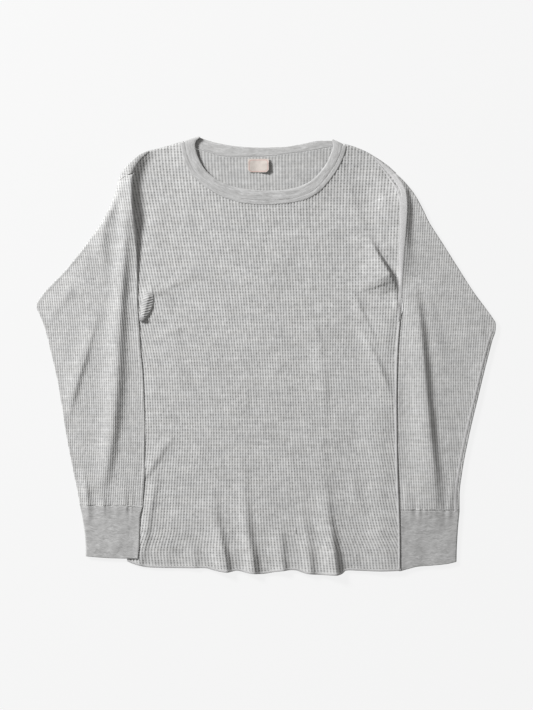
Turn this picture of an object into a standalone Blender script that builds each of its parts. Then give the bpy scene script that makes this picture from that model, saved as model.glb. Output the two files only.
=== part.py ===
"""A long-sleeved thermal top in waffle knit, lying face up on a flat surface, sleeves down its sides.

All tables are in millimetres, in the garment's own frame: x runs from the centre front towards the
wearer's left, y runs up the body from the lowest point of the hem, and z up from the surface below.
"""

from collections import namedtuple

import bpy
import numpy as np

MM = 0.001

# Cloth
KNIT = 1.4  # wall of the waffle knit
RIB = 1.8  # wall of the doubled smooth knit round the neck
CUFF_WALL = 1.45  # the same at the cuffs, where it is pressed flat
LABEL_WALL = 1.0
SEAM = 0.4  # pieces stand this far apart where they are sewn
ARMHOLE = 0.9  # the same across the armholes, which run aslant
PLY_GAP = 0.5  # between cloth that lies on other cloth

# Levels of the outer skins, up from the surface
FRONT_LIE = 2 * KNIT + PLY_GAP
SLACK = 0.8  # looseness of the front inside its edges
TUBE = 5.6  # a flattened sleeve or cuff on the surface
LAP = FRONT_LIE + PLY_GAP  # underside of the right sleeve where it lies over the body
LAP_TOP = 9.0  # its upper skin there
TUCK = TUBE + 1.5 * PLY_GAP  # the body's rise over the left sleeve that is tucked below it
FOLD_RADIUS = 2.6  # of a flattened tube's side folds
LAP_RADIUS = 3.1  # of the fold that lies over the body
HEAD_SEAM_ANGLE = -35  # where the right armhole seam lies round that fold at the sleeve's head
FLOOR_MARGIN = 2.0  # between a side fold and the first points of the layer below
TURN_ANGLES = (20, 55, 90, 125, 160)  # round such a fold, from its upper side to its lower one

# Where one level eases into another, as a start and a length
SLACK_RIGHT = (-200, 25)
SLACK_LEFT = (205, 25)
LAP_RAMP = (-229, 18)  # the right sleeve climbs onto the body
LAP_EDGE = -226  # past this the right sleeve's upper layer must clear the body
TUCK_RAMP = (24, 16)  # the body climbs the left sleeve, measured in from the sleeve's fold
TUCK_START = (12, 30)  # the climb begins above the left armpit and is whole this much lower
FRONT_AHEAD = 6  # the front climbs sooner than the back below it
HEAD_RIGHT = (595, 25)  # up here the right armhole seam comes up onto the side of the fold
HEAD_LEFT = (600, 30)  # up here the left armhole gap widens
ARMPIT_SHUT = (8, 16)  # the left sleeve closes from an open armhole to a fold, across its armpit

Edge = namedtuple("Edge", "y right left")  # the body's side edges: wearer's right is at -x
Sleeve = namedtuple("Sleeve", "y outer inner lean")  # its two side folds, and its section's slope
Cuff = namedtuple("Cuff", "y outer inner")
Fold = namedtuple("Fold", "crest west east")  # crest points are x, y, height; widths towards -x and +x

BODY_EDGES = [
    Edge(6, -222, 215),
    Edge(54, -221, 215),
    Edge(118, -220, 215),
    Edge(230, -219, 212),
    Edge(278, -219, 211),
    Edge(342, -219, 213),
    Edge(390, -219, 215),
    Edge(422, -220, 217),
    Edge(486, -222, 216),
    Edge(534, -222, 218),
    Edge(582, -222, 218),
    Edge(600, -222, 216),
    Edge(613, -222, 213),
    Edge(624, -222, 205.6),
    Edge(633, -223, 198.4),
    Edge(643, -224, 208),
]
ARMPIT_RIGHT = 410
ARMPIT_LEFT = 438

RIGHT_SHOULDER = [
    (-224, 645),
    (-221, 652.5),
    (-211, 661.5),
    (-198, 671.5),
    (-186, 677),
    (-173, 680),
    (-147, 687.5),
    (-131.5, 692),
]
LEFT_SHOULDER = [(123.5, 688), (134, 684.5), (147, 680), (160, 674), (172, 667.5), (183, 661), (208, 643)]

# The neckline seam, where the smooth band meets the waffle knit
FRONT_NECKLINE = [
    (-130.5, 690),
    (-128, 678),
    (-122, 658),
    (-110, 639),
    (-91, 623),
    (-66, 609),
    (-35, 599.5),
    (0, 597),
    (32, 599),
    (58, 604),
    (78, 614),
    (97, 634),
    (110, 653),
    (118, 670),
    (122.5, 685),
]
BACK_NECKLINE = [
    (-128, 688),
    (-106, 678),
    (-86, 672),
    (-70, 668),
    (-45, 666),
    (6, 668),
    (35, 672),
    (61, 675),
    (83, 679),
    (104, 682.4),
    (118, 683.1),
    (127, 681.1),
]
# The band's free edge
FRONT_COLLAR = [
    (-105, 697.5),
    (-111, 692),
    (-113, 686),
    (-111, 675),
    (-99, 649),
    (-70, 626),
    (-35, 616),
    (0, 613),
    (26, 614),
    (51, 619),
    (69, 627),
    (86, 642),
    (97, 658),
    (104, 674),
    (107, 685),
    (105, 693),
]
BACK_COLLAR = [
    (-105, 697.5),
    (-80, 690),
    (-45, 684),
    (-11, 682),
    (27, 683),
    (59, 688),
    (86, 693),
    (105, 693),
]

FRONT_HEM = [
    (-222, 21),
    (-210, 16),
    (-186, 11),
    (-138, 10),
    (-98, 10),
    (-80, 6),
    (-61, 5),
    (-46, 7),
    (-32, 3),
    (-6, 2),
    (14, 5),
    (44, 7),
    (64, 2),
    (86, 1),
    (110, 1),
    (126, 7),
    (146, 6),
    (182, 5),
    (215, 6),
]
BACK_HEM = [(-221, 23), (-186, 14), (-138, 13), (0, 10), (110, 10), (182, 9), (214, 9)]

SLEEVE_RIGHT = [
    Sleeve(640, -231, -207, 0),
    Sleeve(630, -234, -208, 0),
    Sleeve(605, -242, -210, 0),
    Sleeve(566, -261, -207, 0),
    Sleeve(528, -288, -205, 0),
    Sleeve(490, -317, -205, 0),
    Sleeve(451, -352, -205, 0),
    Sleeve(438, -363, -205, 0),
    Sleeve(430, -367, -205, 0),
    Sleeve(413, -360, -204, 0),
    Sleeve(394, -352, -202, 0),
    Sleeve(355, -342, -199, 0),
    Sleeve(317, -334, -196, 0),
    Sleeve(278, -328, -195, 0),
    Sleeve(221, -318, -194, 0),
    Sleeve(163, -309, -194, 0),
    Sleeve(125, -299, -196, 0),
    Sleeve(107, -296, -197, 0),
]
SLEEVE_LEFT = [
    Sleeve(632, 210.5, 199.6, 0.85),
    Sleeve(624, 220, 206, 0.65),
    Sleeve(605, 237, 215, 0.35),
    Sleeve(580, 253.5, 218, 0),
    Sleeve(566, 259, 218, 0),
    Sleeve(528, 283, 218, 0),
    Sleeve(490, 307, 217, 0),
    Sleeve(451, 333, 218, 0),
    Sleeve(424, 353, 218.6, 0),
    Sleeve(410, 362, 214, 0),
    Sleeve(400, 367, 210, 0),
    Sleeve(390, 366, 207, 0),
    Sleeve(374, 360, 204, 0),
    Sleeve(355, 355, 202.5, 0),
    Sleeve(317, 346, 201, 0),
    Sleeve(278, 338, 200, 0),
    Sleeve(221, 325, 201, 0),
    Sleeve(163, 314, 204, 0),
    Sleeve(125, 309, 207, 0),
    Sleeve(100, 308, 210, 0),
]
ELBOW_RIGHT = 430
ELBOW_LEFT = 400

CUFF_RIGHT = [Cuff(107, -296, -197), Cuff(90, -293, -201), Cuff(48, -288.5, -202), Cuff(25, -288, -204)]
CUFF_LEFT = [Cuff(100, 308, 210), Cuff(67, 304.5, 212), Cuff(29, 302, 213), Cuff(5, 300, 213)]
CUFF_END_RIGHT = [(-288, 29), (-250, 26), (-204, 25)]
CUFF_END_LEFT = [(213, 7), (227, 10), (242, 13), (263, 14), (288, 16.5), (300, 21)]

FRONT_FOLDS = [
    # the shoulder rolled up where the right sleeve folds over
    Fold([(-206, 664, 3), (-212, 652, 4.5), (-216, 643, 3.2), (-218, 634, 1), (-219, 624, 0)], 10, 7),
    # the left armhole seam, on the ridge of the fold beside it
    Fold(
        [
            (180, 660, 1.5),
            (199, 634, 3),
            (213, 611, 5),
            (217, 590, 5.5),
            (217, 534, 5.5),
            (216, 470, 5.5),
            (217, 450, 5.5),
            (217, 428, 2.5),
            (216, 410, 0),
        ],
        13,
        30,
    ),
    # the neckline, held up by its band
    Fold(
        [
            (-128, 682, 1.5),
            (-110, 639, 2.4),
            (-66, 609, 3.2),
            (0, 597, 3.4),
            (58, 604, 3.2),
            (97, 634, 2.5),
            (121, 682, 1.5),
        ],
        26,
        26,
    ),
    # the tuck of cloth at the right armpit
    Fold([(-184, 452, 0), (-187, 444, 5), (-192, 427, 6), (-195, 412, 4.6), (-195.5, 403, 0)], 4, 5),
    # the crease into the left armpit: a raised lip, then the cloth below it
    Fold([(160, 540, 0), (172, 520, 2.5), (189, 493, 4), (202, 473, 4), (212, 458, 0)], 15, 4),
    Fold([(172, 542, 0), (186, 516, -1.2), (200, 495, -1.2), (212, 476, 0)], 5, 8),
    # the right sleeve's drag across the lower right side
    Fold([(-132, 226, 0), (-160, 196, 1.4), (-180, 160, 1.2), (-184, 120, 0)], 9, 7),
    Fold([(-158, 170, 0), (-170, 120, 1.6), (-176, 60, 1.8), (-178, 12, 1.8)], 9, 7),
    Fold([(122, 226, 0), (138, 160, 1.4), (152, 96, 0)], 10, 6),
    # hem waves
    Fold([(-122, 60, 0), (-120, 30, 1), (-118, 10, 1.8)], 10, 6),
    Fold([(-92, 140, 0), (-86, 90, 2), (-80, 40, 5), (-74, 5, 7)], 15, 7),
    Fold([(-34, 210, 0), (-36, 130, 2), (-38, 60, 5), (-32, 2, 8)], 10, 8),
    Fold([(8, 120, 0), (10, 60, 2.4), (14, 4, 5.5)], 12, 9),
    Fold([(44, 150, 0), (51, 80, 1.6), (56, 4, 4)], 10, 9),
    Fold([(84, 240, 0), (92, 150, 2.4), (98, 90, 5), (103, 40, 7.5), (106, 0, 9)], 17, 8),
]
SLEEVE_FOLDS_RIGHT = [
    # the fold along the body
    Fold([(-215, 645, 1), (-215, 600, 2), (-212, 540, 2), (-210, 490, 0.8), (-210, 440, 0)], 8, 12),
    # the long crest, and the hollow on its body side
    Fold(
        [
            (-226, 630, 0.5),
            (-234, 590, 1.8),
            (-232, 534, 3),
            (-238, 470, 3.8),
            (-242, 400, 4),
            (-248, 310, 4.2),
            (-256, 214, 4),
            (-265, 158, 2.4),
            (-266, 110, 1.2),
        ],
        14,
        7,
    ),
    Fold(
        [
            (-221, 560, 0),
            (-221, 510, -1.2),
            (-225, 438, -1.5),
            (-229, 342, -1.5),
            (-235, 278, -1.5),
            (-243, 200, -1.2),
            (-252, 146, 0),
        ],
        6,
        7,
    ),
    # lesser ones towards the elbow and the cuff
    Fold([(-268, 556, 0), (-262, 530, -1.4), (-254, 500, 0)], 6, 6),
    Fold([(-268, 410, 0), (-285, 342, -1.2), (-301, 294, -1.2), (-314, 246, 0)], 7, 7),
    Fold([(-284, 160, 0), (-279, 126, -1.2), (-275, 107, -0.8)], 5, 5),
    Fold([(-226, 140, 0), (-224, 120, -1), (-222, 107, -0.6)], 6, 6),
]
SLEEVE_FOLDS_LEFT = [
    Fold(
        [
            (224, 470, 0),
            (226, 430, 2),
            (229, 380, 3),
            (236, 278, 3.2),
            (244, 182, 3.4),
            (252, 120, 3),
            (254, 100, 2.4),
        ],
        11,
        9,
    ),
    Fold(
        [
            (232, 474, 0),
            (243, 434, -1),
            (253, 360, -1.5),
            (262, 278, -1.5),
            (270, 190, -1.5),
            (277, 120, -1.2),
            (278, 100, -0.8),
        ],
        7,
        8,
    ),
    Fold([(366, 396, 0), (340, 330, 0.8), (326, 250, 0.8), (310, 160, 0)], 8, 8),
]

# How finely the solids are faceted
ROW_SHARES = (0, 0.34, 0.79, 1)  # the rows lie closer beside the armpits, and under the shoulders
ROW_HEIGHTS = (0, 0.5, 0.84, 0.985)
SIDE_FADE = 9  # how soon, inwards from a side, the columns stop following its curve
SIDE_CROWDING = 1.3  # how much closer the columns lie towards a side
SHOULDER_COLUMNS = 8
SHOULDER_SHARE = 0.2  # of the hem that lies below each shoulder
FRONT_NECK_COLUMNS = 24
BACK_NECK_COLUMNS = 12
FRONT_ROWS = 28
BACK_ROWS = 20
SLEEVE_ROWS = (11, 12)  # above and below the elbow
HEAD_CROWDING = 1.4  # how much closer the sleeves' rows lie towards the head
TOP_COLUMNS = 15
CUFF_ROWS = 3
BAND_TURN_SECTIONS = 3
BAND_SWELL = (0.1, 0.3, 0.2, 0.0)  # of the four points across the band, from its free edge

# Label
LABEL_CENTRE = (-12, 653)
LABEL_WIDTH = 34
LABEL_HEIGHT = 22
LABEL_CHAMFER = 4

COLOURS = {
    "front": (0.47, 0.47, 0.46),
    "back": (0.45, 0.45, 0.44),
    "sleeve_right": (0.48, 0.48, 0.47),
    "sleeve_left": (0.44, 0.44, 0.44),
    "cuff_right": (0.46, 0.46, 0.46),
    "cuff_left": (0.42, 0.42, 0.42),
    "neckband": (0.5, 0.5, 0.49),
    "label": (0.8, 0.74, 0.71),
}


def cubic(knots, values, at):
    """A smooth curve through the values at the knots, which never overshoots them."""
    knots, values, at = (np.asarray(a, float) for a in (knots, values, at))
    step = np.diff(knots)
    slope = np.diff(values) / step
    tangent = np.concatenate([slope[:1], np.zeros(len(slope) - 1), slope[-1:]])
    turns = slope[:-1] * slope[1:] > 0
    tangent[1:-1][turns] = 2 / (1 / slope[:-1][turns] + 1 / slope[1:][turns])
    at = np.clip(at, knots[0], knots[-1])
    i = np.clip(np.searchsorted(knots, at) - 1, 0, len(step) - 1)
    t = (at - knots[i]) / step[i]
    return (
        values[i] * (1 + 2 * t) * (1 - t) ** 2
        + values[i + 1] * t * t * (3 - 2 * t)
        + step[i] * (tangent[i] * t * (1 - t) ** 2 - tangent[i + 1] * t * t * (1 - t))
    )


def column(table, name, y):
    """One column of a table, read at any height."""
    rows = sorted(table)
    return cubic([row.y for row in rows], [getattr(row, name) for row in rows], y)


def edge(points, shares):
    """Points at these shares of the length of a smooth curve through the given ones."""
    points = np.array(points, float)
    chord = np.concatenate([[0], np.cumsum(np.hypot(*np.diff(points, axis=0).T))])
    fine = np.linspace(0, chord[-1], 400)
    line = np.stack([cubic(chord, points[:, i], fine) for i in range(2)], axis=1)
    length = np.concatenate([[0], np.cumsum(np.hypot(*np.diff(line, axis=0).T))])
    at = np.asarray(shares) * length[-1]
    return np.stack([np.interp(at, length, line[:, i]) for i in range(2)], axis=1)


def ease(at, ramp=(0, 1)):
    """0 before the ramp's start, 1 once its length is past, and smooth between."""
    share = np.clip((at - ramp[0]) / ramp[1], 0, 1)
    return share * share * (3 - 2 * share)


def relief(folds, x, y):
    """Height that the folds add at each point."""
    total = np.zeros(np.broadcast(x, y).shape)
    for fold in folds:
        nearest = np.full(total.shape, np.inf)
        height = np.zeros(total.shape)
        east = np.zeros(total.shape, bool)
        for (ax, ay, ah), (bx, by, bh) in zip(fold.crest, fold.crest[1:]):
            dx, dy = bx - ax, by - ay
            t = np.clip(((x - ax) * dx + (y - ay) * dy) / (dx * dx + dy * dy), 0, 1)
            ox, oy = x - ax - t * dx, y - ay - t * dy
            away = np.hypot(ox, oy)
            closer = away < nearest
            nearest = np.where(closer, away, nearest)
            height = np.where(closer, ah + t * (bh - ah), height)
            east = np.where(closer, dx * oy - dy * ox > 0, east)
        width = np.where(east, fold.east, fold.west)
        total += height * np.exp(-((nearest / width) ** 2))
    return total


def tuck_rise(x, y, ahead=0):
    """How far the body's left margin rides up over the sleeve tucked below it."""
    out = x - column(SLEEVE_LEFT, "inner", y) + TUCK_RAMP[0]
    down = ARMPIT_LEFT + TUCK_START[0] - y
    return TUCK * ease(out + ahead, (0, TUCK_RAMP[1])) * ease(down + ahead, (0, TUCK_START[1]))


def front_skin(x, y):
    loose = SLACK * ease(x, SLACK_RIGHT) * ease(-x, (-SLACK_LEFT[0], SLACK_LEFT[1]))
    folds = relief(FRONT_FOLDS, x, y)
    return FRONT_LIE + tuck_rise(x, y, FRONT_AHEAD) + np.maximum(0, loose + folds)


def right_sleeve_skin(x, y):
    lie = TUBE + (LAP_TOP - TUBE) * ease(x, LAP_RAMP)
    least = 2 * KNIT + PLY_GAP + np.where(x > LAP_EDGE, LAP, 0)
    return np.maximum(least, lie + relief(SLEEVE_FOLDS_RIGHT, x, y))


def left_sleeve_skin(x, y):
    """Upper skin of the left sleeve: it leaves the armhole ridge level with the front, then falls."""
    level, fall, start = 3, 7, 10  # widths beside the seam: of the ridge's top, its slope, the folds' start
    out = x - column(BODY_EDGES, "left", y)
    ridge = np.maximum(0, front_skin(x - out, y) - TUBE) * ease(y, (ARMPIT_LEFT, 12))
    beside = np.exp(-((np.maximum(0, out - level) / fall) ** 2))
    return TUBE + ridge * beside + ease(out, (1, start)) * relief(SLEEVE_FOLDS_LEFT, x, y)


def shell(name, points, wall, joined_from=None, ring=False):
    """A cloth wall inside the given outer skin: rows of points, in order round the skin's normal.

    joined_from closes each row to a tube from that row on, and ring joins the last row to the first.
    """
    rows, columns = points.shape[:2]
    index = np.arange(rows * columns).reshape(rows, columns)
    pairs = [(i, i + 1) for i in range(rows - 1)] + ([(rows - 1, 0)] if ring else [])
    faces = []
    for upper, lower in pairs:
        last = columns if joined_from is not None and upper >= joined_from else columns - 1
        for j in range(last):
            k = (j + 1) % columns
            faces.append([index[upper, j], index[lower, j], index[lower, k], index[upper, k]])
    mesh = bpy.data.meshes.new(name)
    mesh.from_pydata((points.reshape(-1, 3) * MM).tolist(), [], [list(map(int, f)) for f in faces])
    mesh.shade_smooth()
    body = add_object(name, mesh)
    solidify = body.modifiers.new("wall", "SOLIDIFY")
    solidify.thickness = wall * MM
    solidify.offset = -1
    return body


def add_object(name, mesh):
    body = bpy.data.objects.new(name, mesh)
    garment.objects.link(body)
    material = bpy.data.materials.new(name)
    material.use_nodes = True
    shader = material.node_tree.nodes["Principled BSDF"]
    shader.inputs["Base Color"].default_value = (*COLOURS[name], 1)
    shader.inputs["Roughness"].default_value = 0.9
    shader.inputs["Metallic"].default_value = 0
    mesh.materials.append(material)
    return body


def panel(hem, shoulders, neckline, neck_columns, row_count, inset):
    """Plan points of a body panel: rows up from the hem, columns across from the wearer's right."""
    right, left = shoulders
    rise = np.linspace(0, 1, SHOULDER_COLUMNS + 1) ** SIDE_CROWDING
    around = np.linspace(0, 1, neck_columns + 1)
    fall = 1 - rise[::-1]
    top = np.concatenate([edge(right, rise)[:-1], edge(neckline, around), edge(left, fall)[1:]])
    side = SHOULDER_SHARE
    u = np.concatenate([side * rise[:-1], side + (1 - 2 * side) * around, 1 - side + side * fall[1:]])
    v = np.append(np.interp(np.linspace(0, 1, row_count), ROW_SHARES, ROW_HEIGHTS), 1)
    hem_line = edge(hem, u)
    u, v = u[None, :, None], v[:, None, None]
    straight = hem_line[None] * (1 - v) + top[None] * v
    sides = []
    for name, corner, sign in (("right", 0, 1), ("left", -1, -1)):
        y = straight[:, corner, 1]
        offset = column(BODY_EDGES, name, y) + sign * inset - straight[:, corner, 0]
        offset[-1] = 0
        sides.append(np.stack([offset, np.zeros(len(y))], axis=1)[:, None])
    return straight + sides[0] * (1 - u) ** SIDE_FADE + sides[1] * u**SIDE_FADE


def build_front():
    shoulders = (RIGHT_SHOULDER, LEFT_SHOULDER)
    plan = panel(FRONT_HEM, shoulders, FRONT_NECKLINE, FRONT_NECK_COLUMNS, FRONT_ROWS, 0)
    x, y = plan[..., 0], plan[..., 1]
    points = np.dstack([x, y, front_skin(x, y)])
    shell("front", points[:, ::-1], KNIT)


def build_back():
    shoulders = (np.array(RIGHT_SHOULDER) + (1, -1), np.array(LEFT_SHOULDER) - (0, 1))
    plan = panel(BACK_HEM, shoulders, BACK_NECKLINE, BACK_NECK_COLUMNS, BACK_ROWS, 1)
    x, y = plan[..., 0], plan[..., 1]
    shell("back", np.dstack([x, y, tuck_rise(x, y)]), KNIT)


def turn(x, top, way):
    """Side fold of a flattened tube, from its upper skin down to the surface. way is +1 at a +x side."""
    angles = np.radians(TURN_ANGLES)
    out = x - way * FOLD_RADIUS * (1 - np.sin(angles))
    return out, top / 2 * (1 + np.cos(angles))


def right_section(y, outer, inner):
    """The right sleeve across: from the armhole over the body, round its inner fold and back below."""
    seam = column(BODY_EDGES, "right", y) - PLY_GAP
    axis = inner - LAP_RADIUS
    crest = right_sleeve_skin(axis, y)
    middle, half = (crest + LAP) / 2, (crest - LAP) / 2
    head = ease(y, HEAD_RIGHT)
    angles = np.radians(np.linspace(-90 + 75 * head, 45, 4))
    fold_x = axis + LAP_RADIUS * np.cos(angles)
    fold_z = middle + half * np.sin(angles)
    top_x = np.linspace(axis, outer + FOLD_RADIUS, TOP_COLUMNS)
    top_z = right_sleeve_skin(top_x, y)
    out_x, out_z = turn(outer, top_z[-1], -1)
    floor_x = np.linspace(outer + FOLD_RADIUS + FLOOR_MARGIN, seam, 3)
    side = np.radians(HEAD_SEAM_ANGLE)
    start_x = seam + head * (axis + LAP_RADIUS * np.cos(side) - seam)
    start_z = LAP + head * (middle + half * np.sin(side) - LAP)
    x = np.concatenate([[start_x], fold_x, top_x, out_x, floor_x])
    z = np.concatenate([[start_z], fold_z, top_z, out_z, np.zeros(3)])
    return x, z


def left_section(y, outer, inner):
    """The left sleeve across: from the armhole ridge, or its fold below the body, out and back below."""
    shut = ease(ARMPIT_LEFT + ARMPIT_SHUT[0] - y, (0, ARMPIT_SHUT[1]))
    rise = np.array([0.62, 0.9, 1.0])  # of the closed fold's three points, of its height
    apart = ARMHOLE * (1 + ease(y, HEAD_LEFT))
    start = shut * inner + (1 - shut) * (column(BODY_EDGES, "left", y) + apart)
    in_x = start + np.array([0, FOLD_RADIUS / 3, FOLD_RADIUS])
    in_z = left_sleeve_skin(in_x, y) * (1 - shut + shut * rise)
    top_x = np.linspace(in_x[-1], outer - FOLD_RADIUS, TOP_COLUMNS)[1:]
    top_z = left_sleeve_skin(top_x, y)
    out_x, out_z = turn(outer, top_z[-1], 1)
    margin = np.minimum(FLOOR_MARGIN, (outer - FOLD_RADIUS - in_x[-1]) / 5)
    ground = np.linspace(outer - FOLD_RADIUS - margin, in_x[-1] + margin, 3)
    floor_x = np.concatenate([ground, in_x[::-1]])
    floor_z = np.concatenate([np.zeros(3), TUBE * shut * (1 - rise[::-1])])
    x = np.concatenate([in_x, top_x, out_x, floor_x])
    z = np.concatenate([in_z, top_z, out_z, floor_z])
    return x, z


def tube(table, section, heights):
    """Outer skin of a flattened tube, a section at each height."""
    rows = []
    for y in heights:
        inner = column(table, "inner", y)
        x, z = section(y, column(table, "outer", y), inner)
        lean = column(table, "lean", y) if "lean" in table[0]._fields else 0
        rows.append(np.stack([x, y + lean * (x - inner), z], axis=1))
    return np.array(rows)


def build_sleeves():
    for name, table, section, elbow, armpit in (
        ("sleeve_right", SLEEVE_RIGHT, right_section, ELBOW_RIGHT, ARMPIT_RIGHT),
        ("sleeve_left", SLEEVE_LEFT, left_section, ELBOW_LEFT, ARMPIT_LEFT),
    ):
        head, foot = table[0].y, table[-1].y + SEAM / 2
        above, below = (np.linspace(0, 1, count + 1) for count in SLEEVE_ROWS)
        upper = head + (elbow - head) * above**HEAD_CROWDING
        heights = np.concatenate([upper, elbow + (foot - elbow) * below[1:]])
        points = tube(table, section, heights)
        closed = int(np.argmax(heights <= armpit))
        if name == "sleeve_right":
            points = points[:, ::-1]
        shell(name, points, KNIT, joined_from=closed)


def build_cuffs():
    for name, table, section, end in (
        ("cuff_right", CUFF_RIGHT, right_section, CUFF_END_RIGHT),
        ("cuff_left", CUFF_LEFT, left_section, CUFF_END_LEFT),
    ):
        heights = np.linspace(table[0].y - SEAM / 2, table[-1].y, CUFF_ROWS + 1)
        points = tube(table, section, heights)
        share = (heights[0] - heights) / (heights[0] - heights[-1])
        end_y = cubic([p[0] for p in end], [p[1] for p in end], points[..., 0])
        points[..., 1] += share[:, None] * (end_y - heights[-1])
        if name == "cuff_right":
            points = points[:, ::-1]
        shell(name, points, CUFF_WALL, joined_from=0)


def band_turn(inner, outer, top, way):
    """Sections of the band where it folds over the shoulder, from the upper half down to the lower one."""
    inner, outer = np.array(inner, float), np.array(outer, float)
    line = (inner - outer) / np.hypot(*(inner - outer))
    away = way * np.array([-line[1], line[0]])
    sections = []
    for angle in np.linspace(0, np.pi, BAND_TURN_SECTIONS + 2)[1:-1]:
        plan = np.linspace(inner, outer, 4) + away * FOLD_RADIUS * np.sin(angle)
        z = top / 2 * (1 + np.cos(angle))
        sections.append(np.column_stack([plan, np.full(4, z)]))
    return sections


def band_half(inner, outer, count, skin):
    """Sections of one half of the band, from the wearer's right to the left, four points across."""
    shares = np.linspace(0, 1, count + 1)
    free, sewn = edge(inner, shares), edge(outer, shares)
    way = np.gradient(sewn, axis=0)
    inward = np.stack([-way[:, 1], way[:, 0]], axis=1) / np.hypot(*way.T)[:, None]
    sections = []
    for a, b, apart in zip(free, sewn, inward * SEAM):
        plan = np.linspace(a, b + apart, 4)
        sections.append(np.column_stack([plan, skin(b)]))
    return sections


def build_neckband():
    def upper(sewn):
        return float(front_skin(*sewn)) + RIB - KNIT + np.array(BAND_SWELL)

    def lower(_):
        return np.zeros(4)

    front = band_half(FRONT_COLLAR, FRONT_NECKLINE, FRONT_NECK_COLUMNS, upper)
    back = band_half(BACK_COLLAR, BACK_NECKLINE, BACK_NECK_COLUMNS, lower)
    turn_left = band_turn(front[-1][0, :2], front[-1][-1, :2], front[-1][:, 2].mean(), -1)
    turn_right = band_turn(front[0][0, :2], front[0][-1, :2], front[0][:, 2].mean(), 1)
    sections = front + turn_left + back[::-1] + turn_right[::-1]
    shell("neckband", np.array(sections)[:, ::-1], RIB, ring=True)


def build_label():
    """A plain woven tab, its lower corners cut off, lying on the inside of the back."""
    curve = bpy.data.curves.new("label", "CURVE")
    curve.dimensions = "2D"
    curve.fill_mode = "BOTH"
    curve.extrude = LABEL_WALL / 2 * MM
    half, low, cut = LABEL_WIDTH / 2, -LABEL_HEIGHT / 2, LABEL_CHAMFER
    outline = [(-half, -low), (-half, low + cut), (-half + cut, low), (half - cut, low)]
    outline += [(half, low + cut), (half, -low)]
    spline = curve.splines.new("POLY")
    spline.points.add(len(outline) - 1)
    for point, (x, y) in zip(spline.points, outline):
        point.co = (x * MM, y * MM, 0, 1)
    spline.use_cyclic_u = True
    body = add_object("label", curve)
    body.location = (
        LABEL_CENTRE[0] * MM,
        LABEL_CENTRE[1] * MM,
        (KNIT + SEAM + LABEL_WALL / 2) * MM,
    )


def centre_on_floor():
    """Moves the top so that the middle of its outline is over the origin."""
    bpy.context.view_layer.update()
    meshes = [body for body in garment.objects if body.type == "MESH"]
    corners = np.array([body.matrix_world @ v.co for body in meshes for v in body.data.vertices])
    middle = (corners.min(axis=0) + corners.max(axis=0)) / 2
    for body in garment.objects:
        body.location.x -= middle[0]
        body.location.y -= middle[1]


for old in list(bpy.data.objects):
    bpy.data.objects.remove(old, do_unlink=True)
garment = bpy.data.collections.new("thermal_top")
bpy.context.scene.collection.children.link(garment)

build_front()
build_back()
build_sleeves()
build_cuffs()
build_neckband()
build_label()
centre_on_floor()
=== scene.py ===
import math

import bpy
import numpy as np
from mathutils.geometry import delaunay_2d_cdt
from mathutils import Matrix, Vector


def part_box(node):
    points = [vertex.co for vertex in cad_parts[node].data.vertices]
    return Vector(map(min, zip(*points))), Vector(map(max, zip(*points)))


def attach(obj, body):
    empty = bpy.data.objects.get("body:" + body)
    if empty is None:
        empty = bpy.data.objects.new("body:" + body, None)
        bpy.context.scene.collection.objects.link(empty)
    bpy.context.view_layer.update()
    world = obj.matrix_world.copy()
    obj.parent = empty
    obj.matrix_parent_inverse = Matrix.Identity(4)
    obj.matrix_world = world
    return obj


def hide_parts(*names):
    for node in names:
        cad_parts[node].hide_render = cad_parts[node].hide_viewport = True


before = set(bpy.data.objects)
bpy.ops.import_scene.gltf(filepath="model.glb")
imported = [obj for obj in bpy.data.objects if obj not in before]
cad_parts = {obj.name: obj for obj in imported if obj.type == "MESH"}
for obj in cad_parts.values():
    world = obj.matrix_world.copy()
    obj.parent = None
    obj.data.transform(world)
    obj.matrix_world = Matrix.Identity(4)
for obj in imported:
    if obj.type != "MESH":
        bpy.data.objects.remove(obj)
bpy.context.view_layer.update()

mm = 0.001

# All lengths below are in millimetres, in the garment's own frame: x from the centre front towards
# the wearer's left, y up the body from the hem, z up from the table. place() turns them to metres.

# how high each layer lies over the table, for all the pieces
levels = {
    "knit": 1.4,  # wall of the waffle knit
    "rib": 1.8,  # wall of the doubled smooth knit
    "front": 3.3,  # upper skin of the front, over the back
    "slack": 0.8,  # looseness of the front over the middle of the body
    "tube": 5.6,  # a flattened sleeve on the table
    "tuck": 4.4,  # how far the body rides up over the left sleeve
    "tucked": 3.9,  # the left sleeve below it, pressed flat
}

# the body's side edges: height, wearer's right, wearer's left
bodyEdges = [
    (6, -222, 214.5),
    (54, -221, 214.5),
    (118, -220, 212.6),
    (166, -219, 210.6),
    (230, -219, 209.6),
    (278, -219, 209.2),
    (342, -219, 210.4),
    (390, -219, 213),
    (422, -220, 216.5),
    (486, -222, 216),
    (534, -222, 218),
    (582, -222, 218),
    (600, -222, 216),
    (613, -222, 213),
    (624, -222, 205.6),
    (633, -223, 198.4),
    (643, -224, 208),
]
leftArmpit = 438  # its height

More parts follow.
